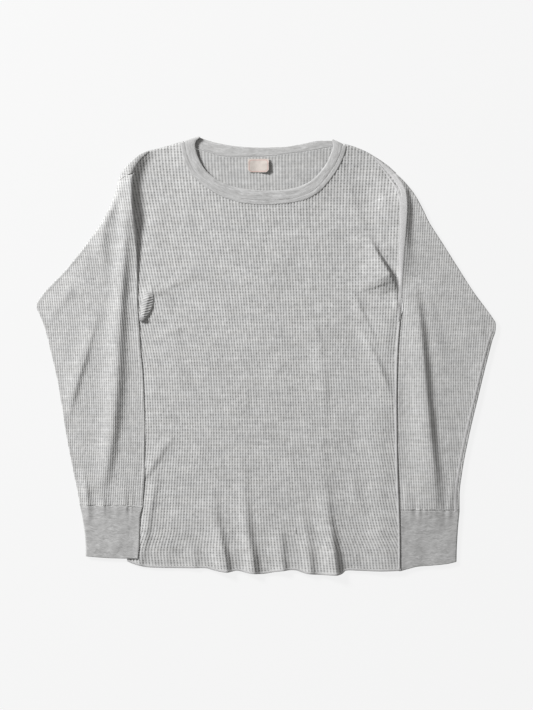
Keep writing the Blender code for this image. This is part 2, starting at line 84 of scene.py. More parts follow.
# Each crease or swell below is a crest of points (x, y, height) and the widths of its two sides, -x and +x.
# A fourth number at a point makes both sides that many times as wide there.
frontPiece = {
    "pitDepth": 0.85,
    "barDepth": 0.75,  # share of that depth left on the cross bars
    "across": 3,  # mesh columns to a wale, and rows to a course
    "along": 2,
    "sideRadius": 1.2,
    "shoulderRadius": 2.4,
    "rightShoulder": [
        (-224, 645),
        (-221, 652.5),
        (-211, 661.5),
        (-198, 671.5),
        (-186, 677),
        (-173, 680),
        (-147, 687.5),
        (-131.5, 692),
    ],
    "leftShoulder": [
        (123.5, 688),
        (134, 685.5),
        (147, 681),
        (160, 675.5),
        (172, 668.5),
        (183, 661.5),
        (196, 652),
        (208, 641),
    ],
    "neckline": [
        (-130.5, 690),
        (-128, 678),
        (-122, 658),
        (-110, 639),
        (-91, 623),
        (-66, 609),
        (-35, 599.5),
        (0, 597),
        (32, 599),
        (58, 604),
        (78, 614),
        (97, 634),
        (110, 653),
        (118, 670),
        (122.5, 685),
    ],
    "hem": [
        (-222, 21),
        (-210, 16),
        (-186, 11),
        (-138, 10),
        (-98, 10),
        (-80, 6),
        (-61, 3.6),
        (-46, 6),
        (-32, 3),
        (-6, 0.6),
        (14, 4),
        (44, 7),
        (64, 1.5),
        (86, -0.6),
        (112, -0.8),
        (121, 0.6),
        (129, 6.6),
        (146, 6),
        (182, 5),
        (215, 6),
    ],
    "folds": [
        # the shoulder climbs into a roll beside the right sleeve
        (
            [
                (-178, 681, 0, 0.6),
                (-193, 674, 4.5, 0.7),
                (-204, 664, 9.5, 0.9),
                (-212, 653, 11.5, 0.9),
                (-217, 640, 12.5, 0.8),
                (-218, 626, 9.8, 0.75),
                (-218, 610, 7.2, 0.75),
                (-216, 582, 6.6, 0.75),
                (-213.5, 550, 3, 0.5),
                (-211, 518, 1.4, 0.45),
                (-208, 486, 0.6, 0.45),
                (-206, 455, 0, 0.4),
            ],
            26,
            15.5,
        ),
        # the left armhole seam's ridge
        (
            [
                (176, 664, 1, 0.5),
                (200, 638, 3, 0.6),
                (215, 612, 7.5, 0.8),
                (220, 590, 9),
                (220.5, 560, 8.6),
                (218.5, 530, 7.4, 0.6),
                (217, 480, 5, 0.25),
                (216, 450, 2.6, 0.25),
                (216, 428, 1.5, 0.3),
                (215, 406, 0, 0.3),
            ],
            42,
            30,
        ),
        # the neckline, held up by its band
        (
            [
                (-129, 686, 3.4),
                (-124, 664, 3),
                (-110, 639, 2),
                (-66, 609, 1.4),
                (0, 597, 1.6),
                (58, 604, 2),
                (97, 634, 2.6),
                (121, 682, 2.4),
            ],
            22,
            22,
        ),
        # short creases that fan out above the tuck at the right armpit
        ([(-198, 466, 0), (-191, 452, 1.6), (-186, 438, 0.8), (-184, 428, 0)], 4, 3),
        ([(-190, 472, 0), (-183, 455, 1.6), (-179, 440, 0)], 4, 3),
        (
            [
                (-180, 462, 0),
                (-186, 449, 1),
                (-190, 436, 1.9),
                (-193, 422, 2),
                (-197, 410, 1),
                (-200, 402, 0),
            ],
            13,
            3,
        ),
        ([(-120, 474, 0), (-150, 462, 0.9), (-184, 447, 0.9)], 7, 5),
        ([(-120, 402, 0), (-152, 386, 0.8), (-186, 370, 0)], 7, 5),
        # the deep crease into the left armpit, and two small ones beside it
        (
            [
                (156, 548, 0),
                (168.6, 528, 2.2, 0.8),
                (178, 511, 5.4, 0.9),
                (187, 496, 9.2),
                (197, 480, 12),
                (203, 468, 8.6),
                (206, 452, 3.5),
                (206, 436, 1),
                (206, 424, 0),
            ],
            36,
            5,
        ),
        (
            [
                (174, 533, -0.6),
                (182, 518, -2.4),
                (192, 501, -6),
                (200, 488, -10),
                (204, 480, -7),
                (206, 470, -2),
                (207, 460, 0),
            ],
            4,
            6,
        ),
        ([(190, 548, 0), (195, 525, 1.2), (203, 505, 1), (208, 492, 0)], 4, 4),
        ([(180, 556, 0), (186, 535, 1.4), (194, 512, 1.4), (200, 500, 0)], 5, 4),
        ([(206, 452, 0), (209, 432, 2), (208, 412, 0)], 5, 3),
        # long soft drags down the chest and sides
        ([(114, 668, 0.7), (133, 612, 1.2), (154, 560, 1.2), (164, 540, 0)], 9, 7),
        ([(176, 646, 0.8), (190, 597, 1.2), (199, 560, 0)], 8, 6),
        ([(-158, 470, 0), (-144, 390, 1), (-138, 294, 0)], 10, 7),
        ([(42, 494, 0), (85, 374, 1), (94, 278, 1), (91, 214, 0.5)], 10, 7),
        ([(134, 450, 0), (156, 384, 2.6), (182, 330, 2.8), (202, 276, 1)], 7, 5),
        ([(130, 468, 0), (148, 432, 1.8), (168, 385, 1.8), (178, 362, 0)], 6, 4),
        ([(-140, 230, 0), (-168, 197, 1.8), (-190, 160, 1.8)], 9, 6),
        ([(-172, 172, 0), (-183, 118, 2.4), (-193, 54, 2.4), (-202, 16, 1.6)], 10, 6),
        ([(128, 190, 0), (144, 134, 1.9), (156, 98, 0.8), (162, 70, 0)], 10, 6),
        # hem waves
        ([(-118, 70, 0), (-115, 30, 1.6), (-114, 8, 2.2)], 11, 6),
        ([(-90, 150, 0), (-85, 118, 1.2), (-76, 70, 4), (-67, 30, 7), (-63, 4, 8)], 17, 7),
        ([(-40, 200, 0), (-35, 118, 2), (-29, 60, 5.5), (-23, 30, 7.5), (-20, 2, 8.5)], 12, 8),
        ([(20, 90, 0), (24, 48, 3), (27, 4, 6)], 13, 7),
        ([(55, 130, 0), (66, 60, 2.6), (71, 4, 4.6)], 11, 8),
        ([(86, 230, 0), (95, 130, 2.4), (101, 80, 5), (108, 36, 10.4), (112, 2, 11.6)], 18, 8),
        # a small snag in the knit
        ([(49, 72, -1.3), (49, 66, -1.3)], 0.9, 0.9),
        ([(46.4, 71, 0.9), (46.4, 67, 0.9)], 0.9, 0.9),
    ],
    # where the wales and courses run: height, lean of the wales, their pitch, pitch of the courses
    "knit": [
        (-10, 0.12, 4.96, 4.1),
        (30, 0.12, 4.96, 4.15),
        (72, 0.087, 4.64, 4.4),
        (155, 0.035, 4.35, 4.64),
        (238, 0.045, 4.16, 4.85),
        (322, 0.06, 4.16, 4.9),
        (405, 0.07, 4.37, 4.9),
        (488, 0.10, 4.6, 4.8),
        (571, 0.09, 4.83, 4.6),
        (654, 0.035, 5.1, 4.56),
        (700, 0.03, 5.2, 4.56),
    ],
}

backPiece = {
    "pitDepth": 0.5,
    "insideDepth": 0.4,
    "barDepth": 0.75,
    "neckline": [
        (-128, 688),
        (-106, 678),
        (-86, 672),
        (-70, 668),
        (-45, 666),
        (6, 668),
        (35, 672),
        (61, 675),
        (83, 679),
        (104, 682.4),
        (118, 683.1),
        (127, 681.1),
    ],
    "hem": [(-221, 23), (-186, 14), (-138, 13), (0, 10), (110, 10), (182, 9), (214, 9)],
    "hemTurn": 26,  # how far up inside the hem the inner face is made
    "folds": [  # on the underside, where the back is dragged a little
        ([(-120, 560, 0), (-60, 520, 0.9), (0, 500, 0)], 9, 12),
        ([(150, 430, 0), (90, 380, 0.8), (20, 350, 0)], 12, 9),
        ([(-150, 60, 0.9), (-130, 150, 0.8), (-120, 220, 0)], 9, 12),
        ([(60, 20, 0.9), (70, 110, 0.8), (66, 190, 0)], 10, 12),
    ],
}

rightSleeve = {
    "pitDepth": 0.8,
    "barDepth": 0.65,
    "outerRadius": 1.0,
    "innerRadius": 2.6,
    # height, outer fold, inner fold
    "edges": [
        (640, -232, -210),
        (630, -235.5, -212),
        (605, -242.5, -212),
        (566, -261, -209),
        (528, -287.5, -206),
        (490, -317.3, -205),
        (451, -354, -205),
        (438, -364, -205),
        (430, -367.5, -205),
        (413, -361, -204),
        (394, -354, -202.5),
        (355, -344, -200),
        (317, -335, -196.5),
        (278, -328, -195),
        (221, -319, -194),
        (163, -307.8, -194),
        (125, -300, -196),
        (107, -297, -197),
    ],
    # how far its inner fold stands above the body below it, by height
    "press": [
        (126, 1.9),
        (182, 1.6),
        (246, 0.9),
        (310, 0.9),
        (374, 1.9),
        (454, 1.6),
        (502, 3.8),
        (550, 7.5),
        (582, 9),
        (610, 7.4),
        (626, 4.4),
        (640, 0.8),
    ],
    # how much fuller it is towards the shoulder, by height
    "fuller": [(500, 0), (550, 3.5), (582, 7.5), (610, 8.5), (640, 5)],
    "shoulder": 10,  # how far in from its outer fold it rounds up to that
    "thin": 2,  # how much flatter it is towards its outer fold
    "folds": [
        # the long crest, steep on its body side
        (
            [
                (-223, 600, 0, 0.7),
                (-224, 560, 3.2, 0.7),
                (-226, 520, 5, 0.9),
                (-228, 490, 6, 0.9),
                (-231.5, 438, 6.4, 0.8),
                (-235.5, 374, 7, 1.15),
                (-238, 310, 7, 1.15),
                (-241, 278, 6.8, 1.1),
                (-245, 230, 6.4),
                (-252, 182, 5),
                (-260, 145, 2.2),
                (-265, 120, 0),
            ],
            15,
            9.5,
        ),
        # the next one out, past the elbow
        ([(-262, 440, 0), (-274, 400, 1.4), (-290, 345, 3), (-306, 294, 3), (-318, 246, 0.6)], 14, 6),
        # a dent below the shoulder, then the small pleats over the cuff
        (
            [
                (-236, 622, 0),
                (-242, 604, 1.6),
                (-250, 582, 2.2),
                (-260, 552, 2.4),
                (-262, 525, 3),
                (-258, 500, 2.4),
                (-255, 480, 0),
            ],
            12,
            8,
        ),
        ([(-304, 470, 0), (-316, 448, 1.2), (-334, 424, 0.6)], 8, 7),
        ([(-294, 172, 0), (-287, 134, 3.8), (-285, 106, 2.8), (-284, 80, 0.6), (-284, 64, 0)], 8, 5),
        ([(-262, 138, 0), (-260, 114, 1.6), (-259, 104, 1.2), (-258, 80, 0)], 6, 5),
        ([(-230, 150, 0), (-227, 120, 1.4), (-225, 106, 1), (-224, 82, 0)], 7, 5),
    ],
    "knit": [
        (90, -0.06, 3.5, 4.5),
        (155, -0.06, 3.5, 4.5),
        (238, 0.0, 3.45, 4.5),
        (322, 0.05, 3.65, 4.5),
        (405, 0.09, 3.65, 4.5),
        (488, 0.13, 3.7, 4.5),
        (571, 0.19, 3.85, 4.5),
        (660, 0.19, 4.0, 4.5),
    ],
    "knitAxis": -262,
}

leftSleeve = {
    "pitDepth": 0.5,
    "barDepth": 0.7,
    "outerRadius": 1.0,
    "innerRadius": 2.6,
    # height, outer fold, inner fold, lean of the section
    "edges": [
        (632, 208.6, 199.6, 0.85),
        (624, 217.4, 206, 0.65),
        (605, 234.4, 215, 0.35),
        (580, 252.6, 218, 0),
        (566, 259, 218, 0),
        (528, 283, 218, 0),
        (490, 307, 217, 0),
        (451, 332, 218, 0),
        (424, 352, 218.6, 0),
        (410, 362, 214, 0),
        (400, 367.4, 210, 0),
        (390, 367, 207, 0),
        (374, 362, 204, 0),
        (355, 357, 202.5, 0),
        (317, 347.4, 201, 0),
        (278, 338, 200, 0),
        (221, 324.6, 201, 0),
        (163, 313.6, 204, 0),
        (125, 309.4, 207, 0),
        (100, 309.4, 210, 0),
    ],
    # beside the body's edge, by height: width of the level top, width of the fall, extra height
    "beside": [
        (100, 1.2, 7, 0.6),
        (182, 1.2, 7, 0.8),
        (246, 1.2, 7, 1.2),
        (404, 1.2, 7, 1.2),
        (430, 1.2, 8, 1.2),
        (454, 1.4, 12, 0),
        (486, 2.4, 13, 0),
        (518, 3.2, 11, 0),
        (542, 4.6, 8, 0),
        (566, 5.8, 6, 0),
        (602, 8, 4.5, 0),
        (624, 11, 4, 0),
    ],
    "folds": [
        # the long roll beside the body, steep on its outer side
        (
            [
                (232, 474, 0),
                (239, 440, 2.8),
                (246, 390, 6.6),
                (251, 330, 8.2),
                (255.5, 278, 8.5),
                (261, 222, 8.5, 1.1),
                (265.5, 172, 7.6, 1.3),
                (269, 122, 5, 1.5),
                (270.5, 100, 3.6, 1.5),
                (272, 72, 0.8, 1.5),
                (272, 60, 0, 1.5),
            ],
            24,
            8,
        ),
        ([(250, 480, 0), (262, 430, 0.9), (276, 360, 0.9), (290, 300, 0)], 10, 8),
        ([(330, 398, 0), (352, 372, 1), (342, 330, 1), (330, 262, 0.8), (312, 160, 0)], 9, 6),
        ([(300, 170, 0), (296, 124, 1.2), (294, 100, 0.8), (293, 80, 0)], 6, 5),
        ([(224, 160, 0), (226, 120, 1.2), (228, 100, 0.9), (229, 80, 0)], 6, 5),
    ],
    "knit": [
        (90, 0.065, 3.8, 4.5),
        (155, 0.065, 3.8, 4.5),
        (238, 0.055, 3.8, 4.5),
        (322, -0.02, 3.7, 4.5),
        (405, -0.07, 3.75, 4.5),
        (488, -0.07, 3.75, 4.5),
        (571, -0.05, 3.7, 4.5),
        (660, -0.05, 3.7, 4.5),
    ],
    "knitAxis": 258,
}

cuffs = {
    "right": {
        "edges": [(107, -297, -197), (90, -293.5, -201), (48, -288.5, -202), (25, -288, -204)],
        "end": [(-288, 29), (-250, 26), (-204, 25)],
    },
    "left": {
        "edges": [(100, 309.4, 210), (67, 306.8, 212), (29, 305, 213), (5, 304.5, 213)],
        "end": [(213, 4.8), (227, 8.6), (242, 12.4), (263, 14), (288, 16.5), (304, 20)],
    },
    "wall": 1.4,
    "radius": 2.6,
    "step": 0.1,  # how far the sleeve bulges over the cuff
    "pleats": 0.4,
}

neckband = {
    "frontFree": [
        (-105, 697.5),
        (-111, 692),
        (-113, 686),
        (-111, 675),
        (-99, 649),
        (-70, 626),
        (-35, 616),
        (0, 613),
        (26, 614),
        (51, 619),
        (69, 627),
        (86, 642),
        (97, 658),
        (104, 674),
        (107, 685),
        (105, 693),
    ],
    "backFree": [
        (-105, 697.5),
        (-80, 690),
        (-45, 684),
        (-11, 682),
        (27, 683),
        (59, 688),
        (86, 693),
        (105, 693),
    ],
    "frontStations": 220,
    "backStations": 150,
    "turnStations": 9,
    "turn": 2.6,
    "stripWidth": 7,  # the coverstitched strip below the band
    # depth of the groove between band and strip, by x
    "groove": [(-132, 0.5), (-112, 0.4), (-90, 0.1), (-60, 0), (50, 0), (75, 0.15), (95, 0.3), (124, 0.35)],
}

labelPiece = {
    "centre": (-12, 653),
    "width": 34,
    "height": 22,
    "chamfer": 4,
    "wall": 0.5,
    "lift": 3.4,  # its right edge curls up this far
}

lowCorner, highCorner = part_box("label")
shiftX = (lowCorner[0] + highCorner[0]) / 2 - labelPiece["centre"][0] * mm
shiftY = (lowCorner[1] + highCorner[1]) / 2 - labelPiece["centre"][1] * mm


def smoothCurve(knots, values, at):  # through the values at the knots, never past them
    knots, values, at = (np.asarray(a, float) for a in (knots, values, at))
    step = np.diff(knots)
    slope = np.diff(values) / step
    tangent = np.concatenate([slope[:1], np.zeros(len(slope) - 1), slope[-1:]])
    turns = slope[:-1] * slope[1:] > 0
    tangent[1:-1][turns] = 2 / (1 / slope[:-1][turns] + 1 / slope[1:][turns])
    at = np.clip(at, knots[0], knots[-1])
    i = np.clip(np.searchsorted(knots, at) - 1, 0, len(step) - 1)
    t = (at - knots[i]) / step[i]
    return (
        values[i] * (1 + 2 * t) * (1 - t) ** 2
        + values[i + 1] * t * t * (3 - 2 * t)
        + step[i] * (tangent[i] * t * (1 - t) ** 2 - tangent[i + 1] * t * t * (1 - t))
    )


def fromTable(table, column, at):
    rows = sorted(table)
    return smoothCurve([row[0] for row in rows], [row[column] for row in rows], at)


def sample(points, shares):  # points at these shares of a smooth line's length
    points = np.array(points, float)
    chord = np.concatenate([[0], np.cumsum(np.hypot(*np.diff(points, axis=0)[:, :2].T))])
    fine = np.linspace(0, chord[-1], 600)
    line = np.stack([smoothCurve(chord, points[:, i], fine) for i in range(points.shape[1])], axis=1)
    length = np.concatenate([[0], np.cumsum(np.hypot(*np.diff(line, axis=0)[:, :2].T))])
    at = np.asarray(shares) * length[-1]
    return np.stack([np.interp(at, length, line[:, i]) for i in range(points.shape[1])], axis=1)


def lengthOf(points):
    line = sample(points, np.linspace(0, 1, 300))
    return np.hypot(*np.diff(line, axis=0)[:, :2].T).sum()


def every(points, spacing):  # the same line, a point every so many millimetres
    return sample(points, np.linspace(0, 1, max(2, round(lengthOf(points) / spacing)) + 1))


def ease(at, start=0, length=1):
    share = np.clip((at - start) / length, 0, 1)
    return share * share * (3 - 2 * share)


def foldRelief(folds, x, y):
    total = np.zeros(np.broadcast(x, y).shape)
    for crest, west, east in folds:
        crest = [tuple(p) + (1,) * (4 - len(p)) for p in crest]
        reach = 2.6 * max(west, east) * max(p[3] for p in crest)
        xs, ys = [p[0] for p in crest], [p[1] for p in crest]
        near = (x > min(xs) - reach) & (x < max(xs) + reach) & (y > min(ys) - reach) & (y < max(ys) + reach)
        if not near.any():
            continue
        px, py = x[near], y[near]
        nearest = np.full(px.shape, np.inf)
        height = np.zeros(px.shape)
        isEast = np.zeros(px.shape, bool)
        scale = np.ones(px.shape)
        for (ax, ay, ah, aw), (bx, by, bh, bw) in zip(crest, crest[1:]):
            dx, dy = bx - ax, by - ay
            t = np.clip(((px - ax) * dx + (py - ay) * dy) / (dx * dx + dy * dy), 0, 1)
            ox, oy = px - ax - t * dx, py - ay - t * dy
            away = np.hypot(ox, oy)
            closer = away < nearest
            nearest = np.where(closer, away, nearest)
            height = np.where(closer, ah + t * (bh - ah), height)
            scale = np.where(closer, aw + t * (bw - aw), scale)
            isEast = np.where(closer, dx * oy - dy * ox > 0, isEast)
        width = np.where(isEast, east, west) * scale
        total[near] += height * np.exp(-((nearest / width) ** 2))
    return total


def wander(x, y, size, seed):  # slow unevenness between -1 and 1, each swell about this size
    grid = np.random.RandomState(seed).uniform(-1, 1, (64, 64))
    u, v = x / size + 1000, y / size + 1000
    i, j = np.floor(u).astype(int), np.floor(v).astype(int)
    s, t = ease(u - i), ease(v - j)
    i, j, k, m = i % 64, j % 64, (i + 1) % 64, (j + 1) % 64
    low = grid[i, j] * (1 - s) + grid[k, j] * s
    high = grid[i, m] * (1 - s) + grid[k, m] * s
    return low * (1 - t) + high * t


def unevenness(x, y, seed):
    slow = 0.4 * wander(x, y, 55, seed) + 0.3 * wander(x, y / 2.6, 18, seed + 1)
    return slow + 0.13 * wander(x, y / 2, 8, seed + 2)


def nearestOn(line, x, y, closed=True):
    ends = np.roll(line, -1, axis=0)
    if not closed:
        line, ends = line[:-1], ends[:-1]
    way = ends - line
    square = np.maximum((way**2).sum(axis=1), 1e-9)
    foundX, foundY = x.copy(), y.copy()
    for first in range(0, len(x), 4000):
        part = slice(first, first + 4000)
        dx, dy = x[part, None] - line[:, 0], y[part, None] - line[:, 1]
        t = np.clip((dx * way[:, 0] + dy * way[:, 1]) / square, 0, 1)
        offX, offY = line[:, 0] + t * way[:, 0], line[:, 1] + t * way[:, 1]
        best = np.argmin((offX - x[part, None]) ** 2 + (offY - y[part, None]) ** 2, axis=1)
        rows = np.arange(len(best))
        foundX[part], foundY[part] = offX[rows, best], offY[rows, best]
    return foundX, foundY


def awayFrom(line, x, y):  # distance from an open line
    x, y = np.broadcast_arrays(np.asarray(x, float), np.asarray(y, float))
    flatX, flatY = x.ravel(), y.ravel()
    nearX, nearY = nearestOn(np.asarray(line, float)[:, :2], flatX, flatY, False)
    return np.hypot(nearX - flatX, nearY - flatY).reshape(x.shape)


def turnedDown(high, low, share):  # both layers meet halfway between them at a fold, where share is 0
    t = np.clip(share, 0, 1)
    middle = (high + low) / 2
    return middle + (high - middle) * np.sqrt(1 - (1 - t) ** 2)


# Where each layer of cloth lies
def sideLine(column, low, high):
    rise = np.linspace(low, high, 120)
    return np.column_stack([fromTable(bodyEdges, column, rise), rise])


bodySides = {"right": sideLine(1, 0, 645), "left": sideLine(2, 0, leftArmpit + 4)}
shoulders = {side: every(frontPiece[side + "Shoulder"], 3) for side in ("right", "left")}


def tuckRise(x, y, ahead=0):
    out = x - fromTable(leftSleeve["edges"], 2, y) + 58
    down = leftArmpit + 12 - y
    return levels["tuck"] * ease(out + ahead, 0, 54) * ease(down + ahead, 0, 30)


def frontSkin(x, y):
    x, y = np.broadcast_arrays(np.asarray(x, float), np.asarray(y, float))
    loose = levels["slack"] * ease(x, -200, 25) * ease(-x, -205, 25)
    folds = foldRelief(frontPiece["folds"], x, y) + 1.1 * unevenness(x, y, 3)
    return levels["front"] + tuckRise(x, y, 6) + np.maximum(0, loose + folds)


def bodyTurn(x, y):  # 0 at the body's folded sides and shoulders, 1 inside them
    sides = np.minimum(awayFrom(bodySides["right"], x, y), awayFrom(bodySides["left"], x, y))
    tops = np.minimum(awayFrom(shoulders["right"], x, y), awayFrom(shoulders["left"], x, y))
    return np.minimum(np.minimum(sides / frontPiece["sideRadius"], tops / frontPiece["shoulderRadius"]), 1)


def frontTop(x, y, relief=0.0):
    return turnedDown(frontSkin(x, y) + relief, tuckRise(x, y), bodyTurn(x, y))


rightOuter = every([row[1::-1] for row in rightSleeve["edges"]], 6)


def rightSleeveSkin(x, y):
    x, y = np.broadcast_arrays(np.asarray(x, float), np.asarray(y, float))
    ramp = np.clip((x + 239) / 25, 0, 1)
    onBody = 0.6 * ramp + 0.4 * ease(ramp)
    body = frontSkin(np.maximum(x, -222), y)
    inward = awayFrom(rightOuter, x, y)
    rounding = np.sqrt(1 - (1 - np.clip(inward / rightSleeve["shoulder"], 0, 1)) ** 2)
    free = levels["tube"] - rightSleeve["thin"] * (1 - ease(inward, 0, 26))
    free = free + fromTable(rightSleeve["fuller"], 1, y) * rounding
    lie = free + (body + fromTable(rightSleeve["press"], 1, y) - free) * onBody
    least = 2 * levels["knit"] * (1 - onBody) + (body + 0.7) * onBody
    return np.maximum(least, lie + foldRelief(rightSleeve["folds"], x, y) + 0.7 * unevenness(x, y, 11))


def rightSleeveFloor(x, y):  # its underside, on the table and then on the body
    over = ease(x - fromTable(bodyEdges, 1, y), -5, 5)
    return over * (frontSkin(np.maximum(x, -222), y) + 0.2)


def leftSleeveSkin(x, y):
    x, y = np.broadcast_arrays(np.asarray(x, float), np.asarray(y, float))
    out = x - fromTable(bodyEdges, 2, y)
    joined = ease(y, leftArmpit, 12)
    ridge = np.maximum(0, frontSkin(x - out, y) - levels["tube"]) * joined
    level, fall, rise = (fromTable(leftSleeve["beside"], column, y) for column in (1, 2, 3))
    ridge = ridge + rise
    beside = np.exp(-((np.maximum(0, out - level) / fall) ** 2))
    folds = foldRelief(leftSleeve["folds"], x, y) + 1.1 * unevenness(x, y, 17)
    shut = 1 - ease(y, leftArmpit - 18, 20)
    flat = levels["tube"] - (levels["tube"] - levels["tucked"]) * shut * ease(-out, -3, 8)
    return flat + ridge * beside * ease(out, -8, 8) + ease(out, 1, 10) * folds


def leftStart(y):  # the left sleeve's inner side: its fold below the body, or the armhole seam
    shut = ease(leftArmpit + 8 - y, 0, 16)
    return shut * fromTable(leftSleeve["edges"], 2, y) + (1 - shut) * (fromTable(bodyEdges, 2, y) + 0.9)


def sleeveSides(table, isLeft):
    rise = table[-1][0] + (table[0][0] - table[-1][0]) * np.linspace(0, 1, 190)
    outerX, innerX = fromTable(table, 1, rise), fromTable(table, 2, rise)
    lean = fromTable(table, 3, rise) if isLeft else 0 * rise
    start = leftStart(rise) if isLeft else innerX
    return {
        "outer": np.column_stack([outerX, rise + lean * (outerX - innerX)]),
        "inner": np.column_stack([start, rise]),
    }


rightSides = sleeveSides(rightSleeve["edges"], False)
leftSides = sleeveSides(leftSleeve["edges"], True)


def rightSleeveTurn(x, y):
    outer = awayFrom(rightSides["outer"], x, y) / rightSleeve["outerRadius"]
    return np.minimum(outer, awayFrom(rightSides["inner"], x, y) / rightSleeve["innerRadius"])


def leftSleeveTurn(x, y):  # at the armhole seam it isn't turned down
    outer = awayFrom(leftSides["outer"], x, y) / leftSleeve["outerRadius"]
    inner = awayFrom(leftSides["inner"], x, y) / leftSleeve["innerRadius"]
    return np.minimum(outer, inner + 4 * ease(y, leftArmpit - 6, 14))


def rightSleeveTop(x, y):
    return turnedDown(rightSleeveSkin(x, y), rightSleeveFloor(x, y), rightSleeveTurn(x, y))


def leftSleeveTop(x, y):
    return turnedDown(leftSleeveSkin(x, y), 0 * x, leftSleeveTurn(x, y))


# Knitting the waffle to an outline
def knitLattice(table, axis=0):
    heights = np.arange(-20, 721, 1.0)
    lean = fromTable(table, 1, heights)
    centre = axis - np.cumsum(lean) + np.interp(350, heights, np.cumsum(lean))
    return {
        "heights": heights,
        "centre": centre,
        "pitch": fromTable(table, 2, heights),
        "course": np.cumsum(1 / fromTable(table, 3, heights)),
    }


def stitchPlace(lattice, wale, course):
    y = np.interp(course, lattice["course"], lattice["heights"])
    centre = np.interp(y, lattice["heights"], lattice["centre"])
    return centre + wale * np.interp(y, lattice["heights"], lattice["pitch"]), y


def stitchNumber(lattice, x, y):
    centre = np.interp(y, lattice["heights"], lattice["centre"])
    wale = (x - centre) / np.interp(y, lattice["heights"], lattice["pitch"])
    return wale, np.interp(y, lattice["heights"], lattice["course"])


def isInside(outline, x, y):
    inside = np.zeros(x.shape, bool)
    for (ax, ay), (bx, by) in zip(outline, np.roll(outline, -1, axis=0)):
        if ay == by:
            continue
        crosses = (y >= min(ay, by)) & (y < max(ay, by))
        at = ax + (y[crosses] - ay) * (bx - ax) / (by - ay)
        inside[crosses] ^= x[crosses] < at
    return inside


def insetRing(outline, by):  # points this far inside the outline
    way = np.roll(outline, -1, axis=0) - np.roll(outline, 1, axis=0)
    way = way / np.maximum(np.hypot(*way.T), 1e-9)[:, None]
    area = (outline[:, 0] * np.roll(outline[:, 1], -1) - outline[:, 1] * np.roll(outline[:, 0], -1)).sum()
    inward = np.stack([-way[:, 1], way[:, 0]], axis=1) * np.sign(area)
    ring = outline + inward * by
    nearX, nearY = nearestOn(outline, ring[:, 0], ring[:, 1])
    clear = np.hypot(nearX - ring[:, 0], nearY - ring[:, 1]) > 0.92 * by
    return ring[clear & isInside(outline, ring[:, 0], ring[:, 1])]


def spread(mask):
    wide = mask.copy()
    wide[1:] |= mask[:-1]
    wide[:-1] |= mask[1:]
    wide[:, 1:] |= mask[:, :-1]
    wide[:, :-1] |= mask[:, 1:]
    return wide


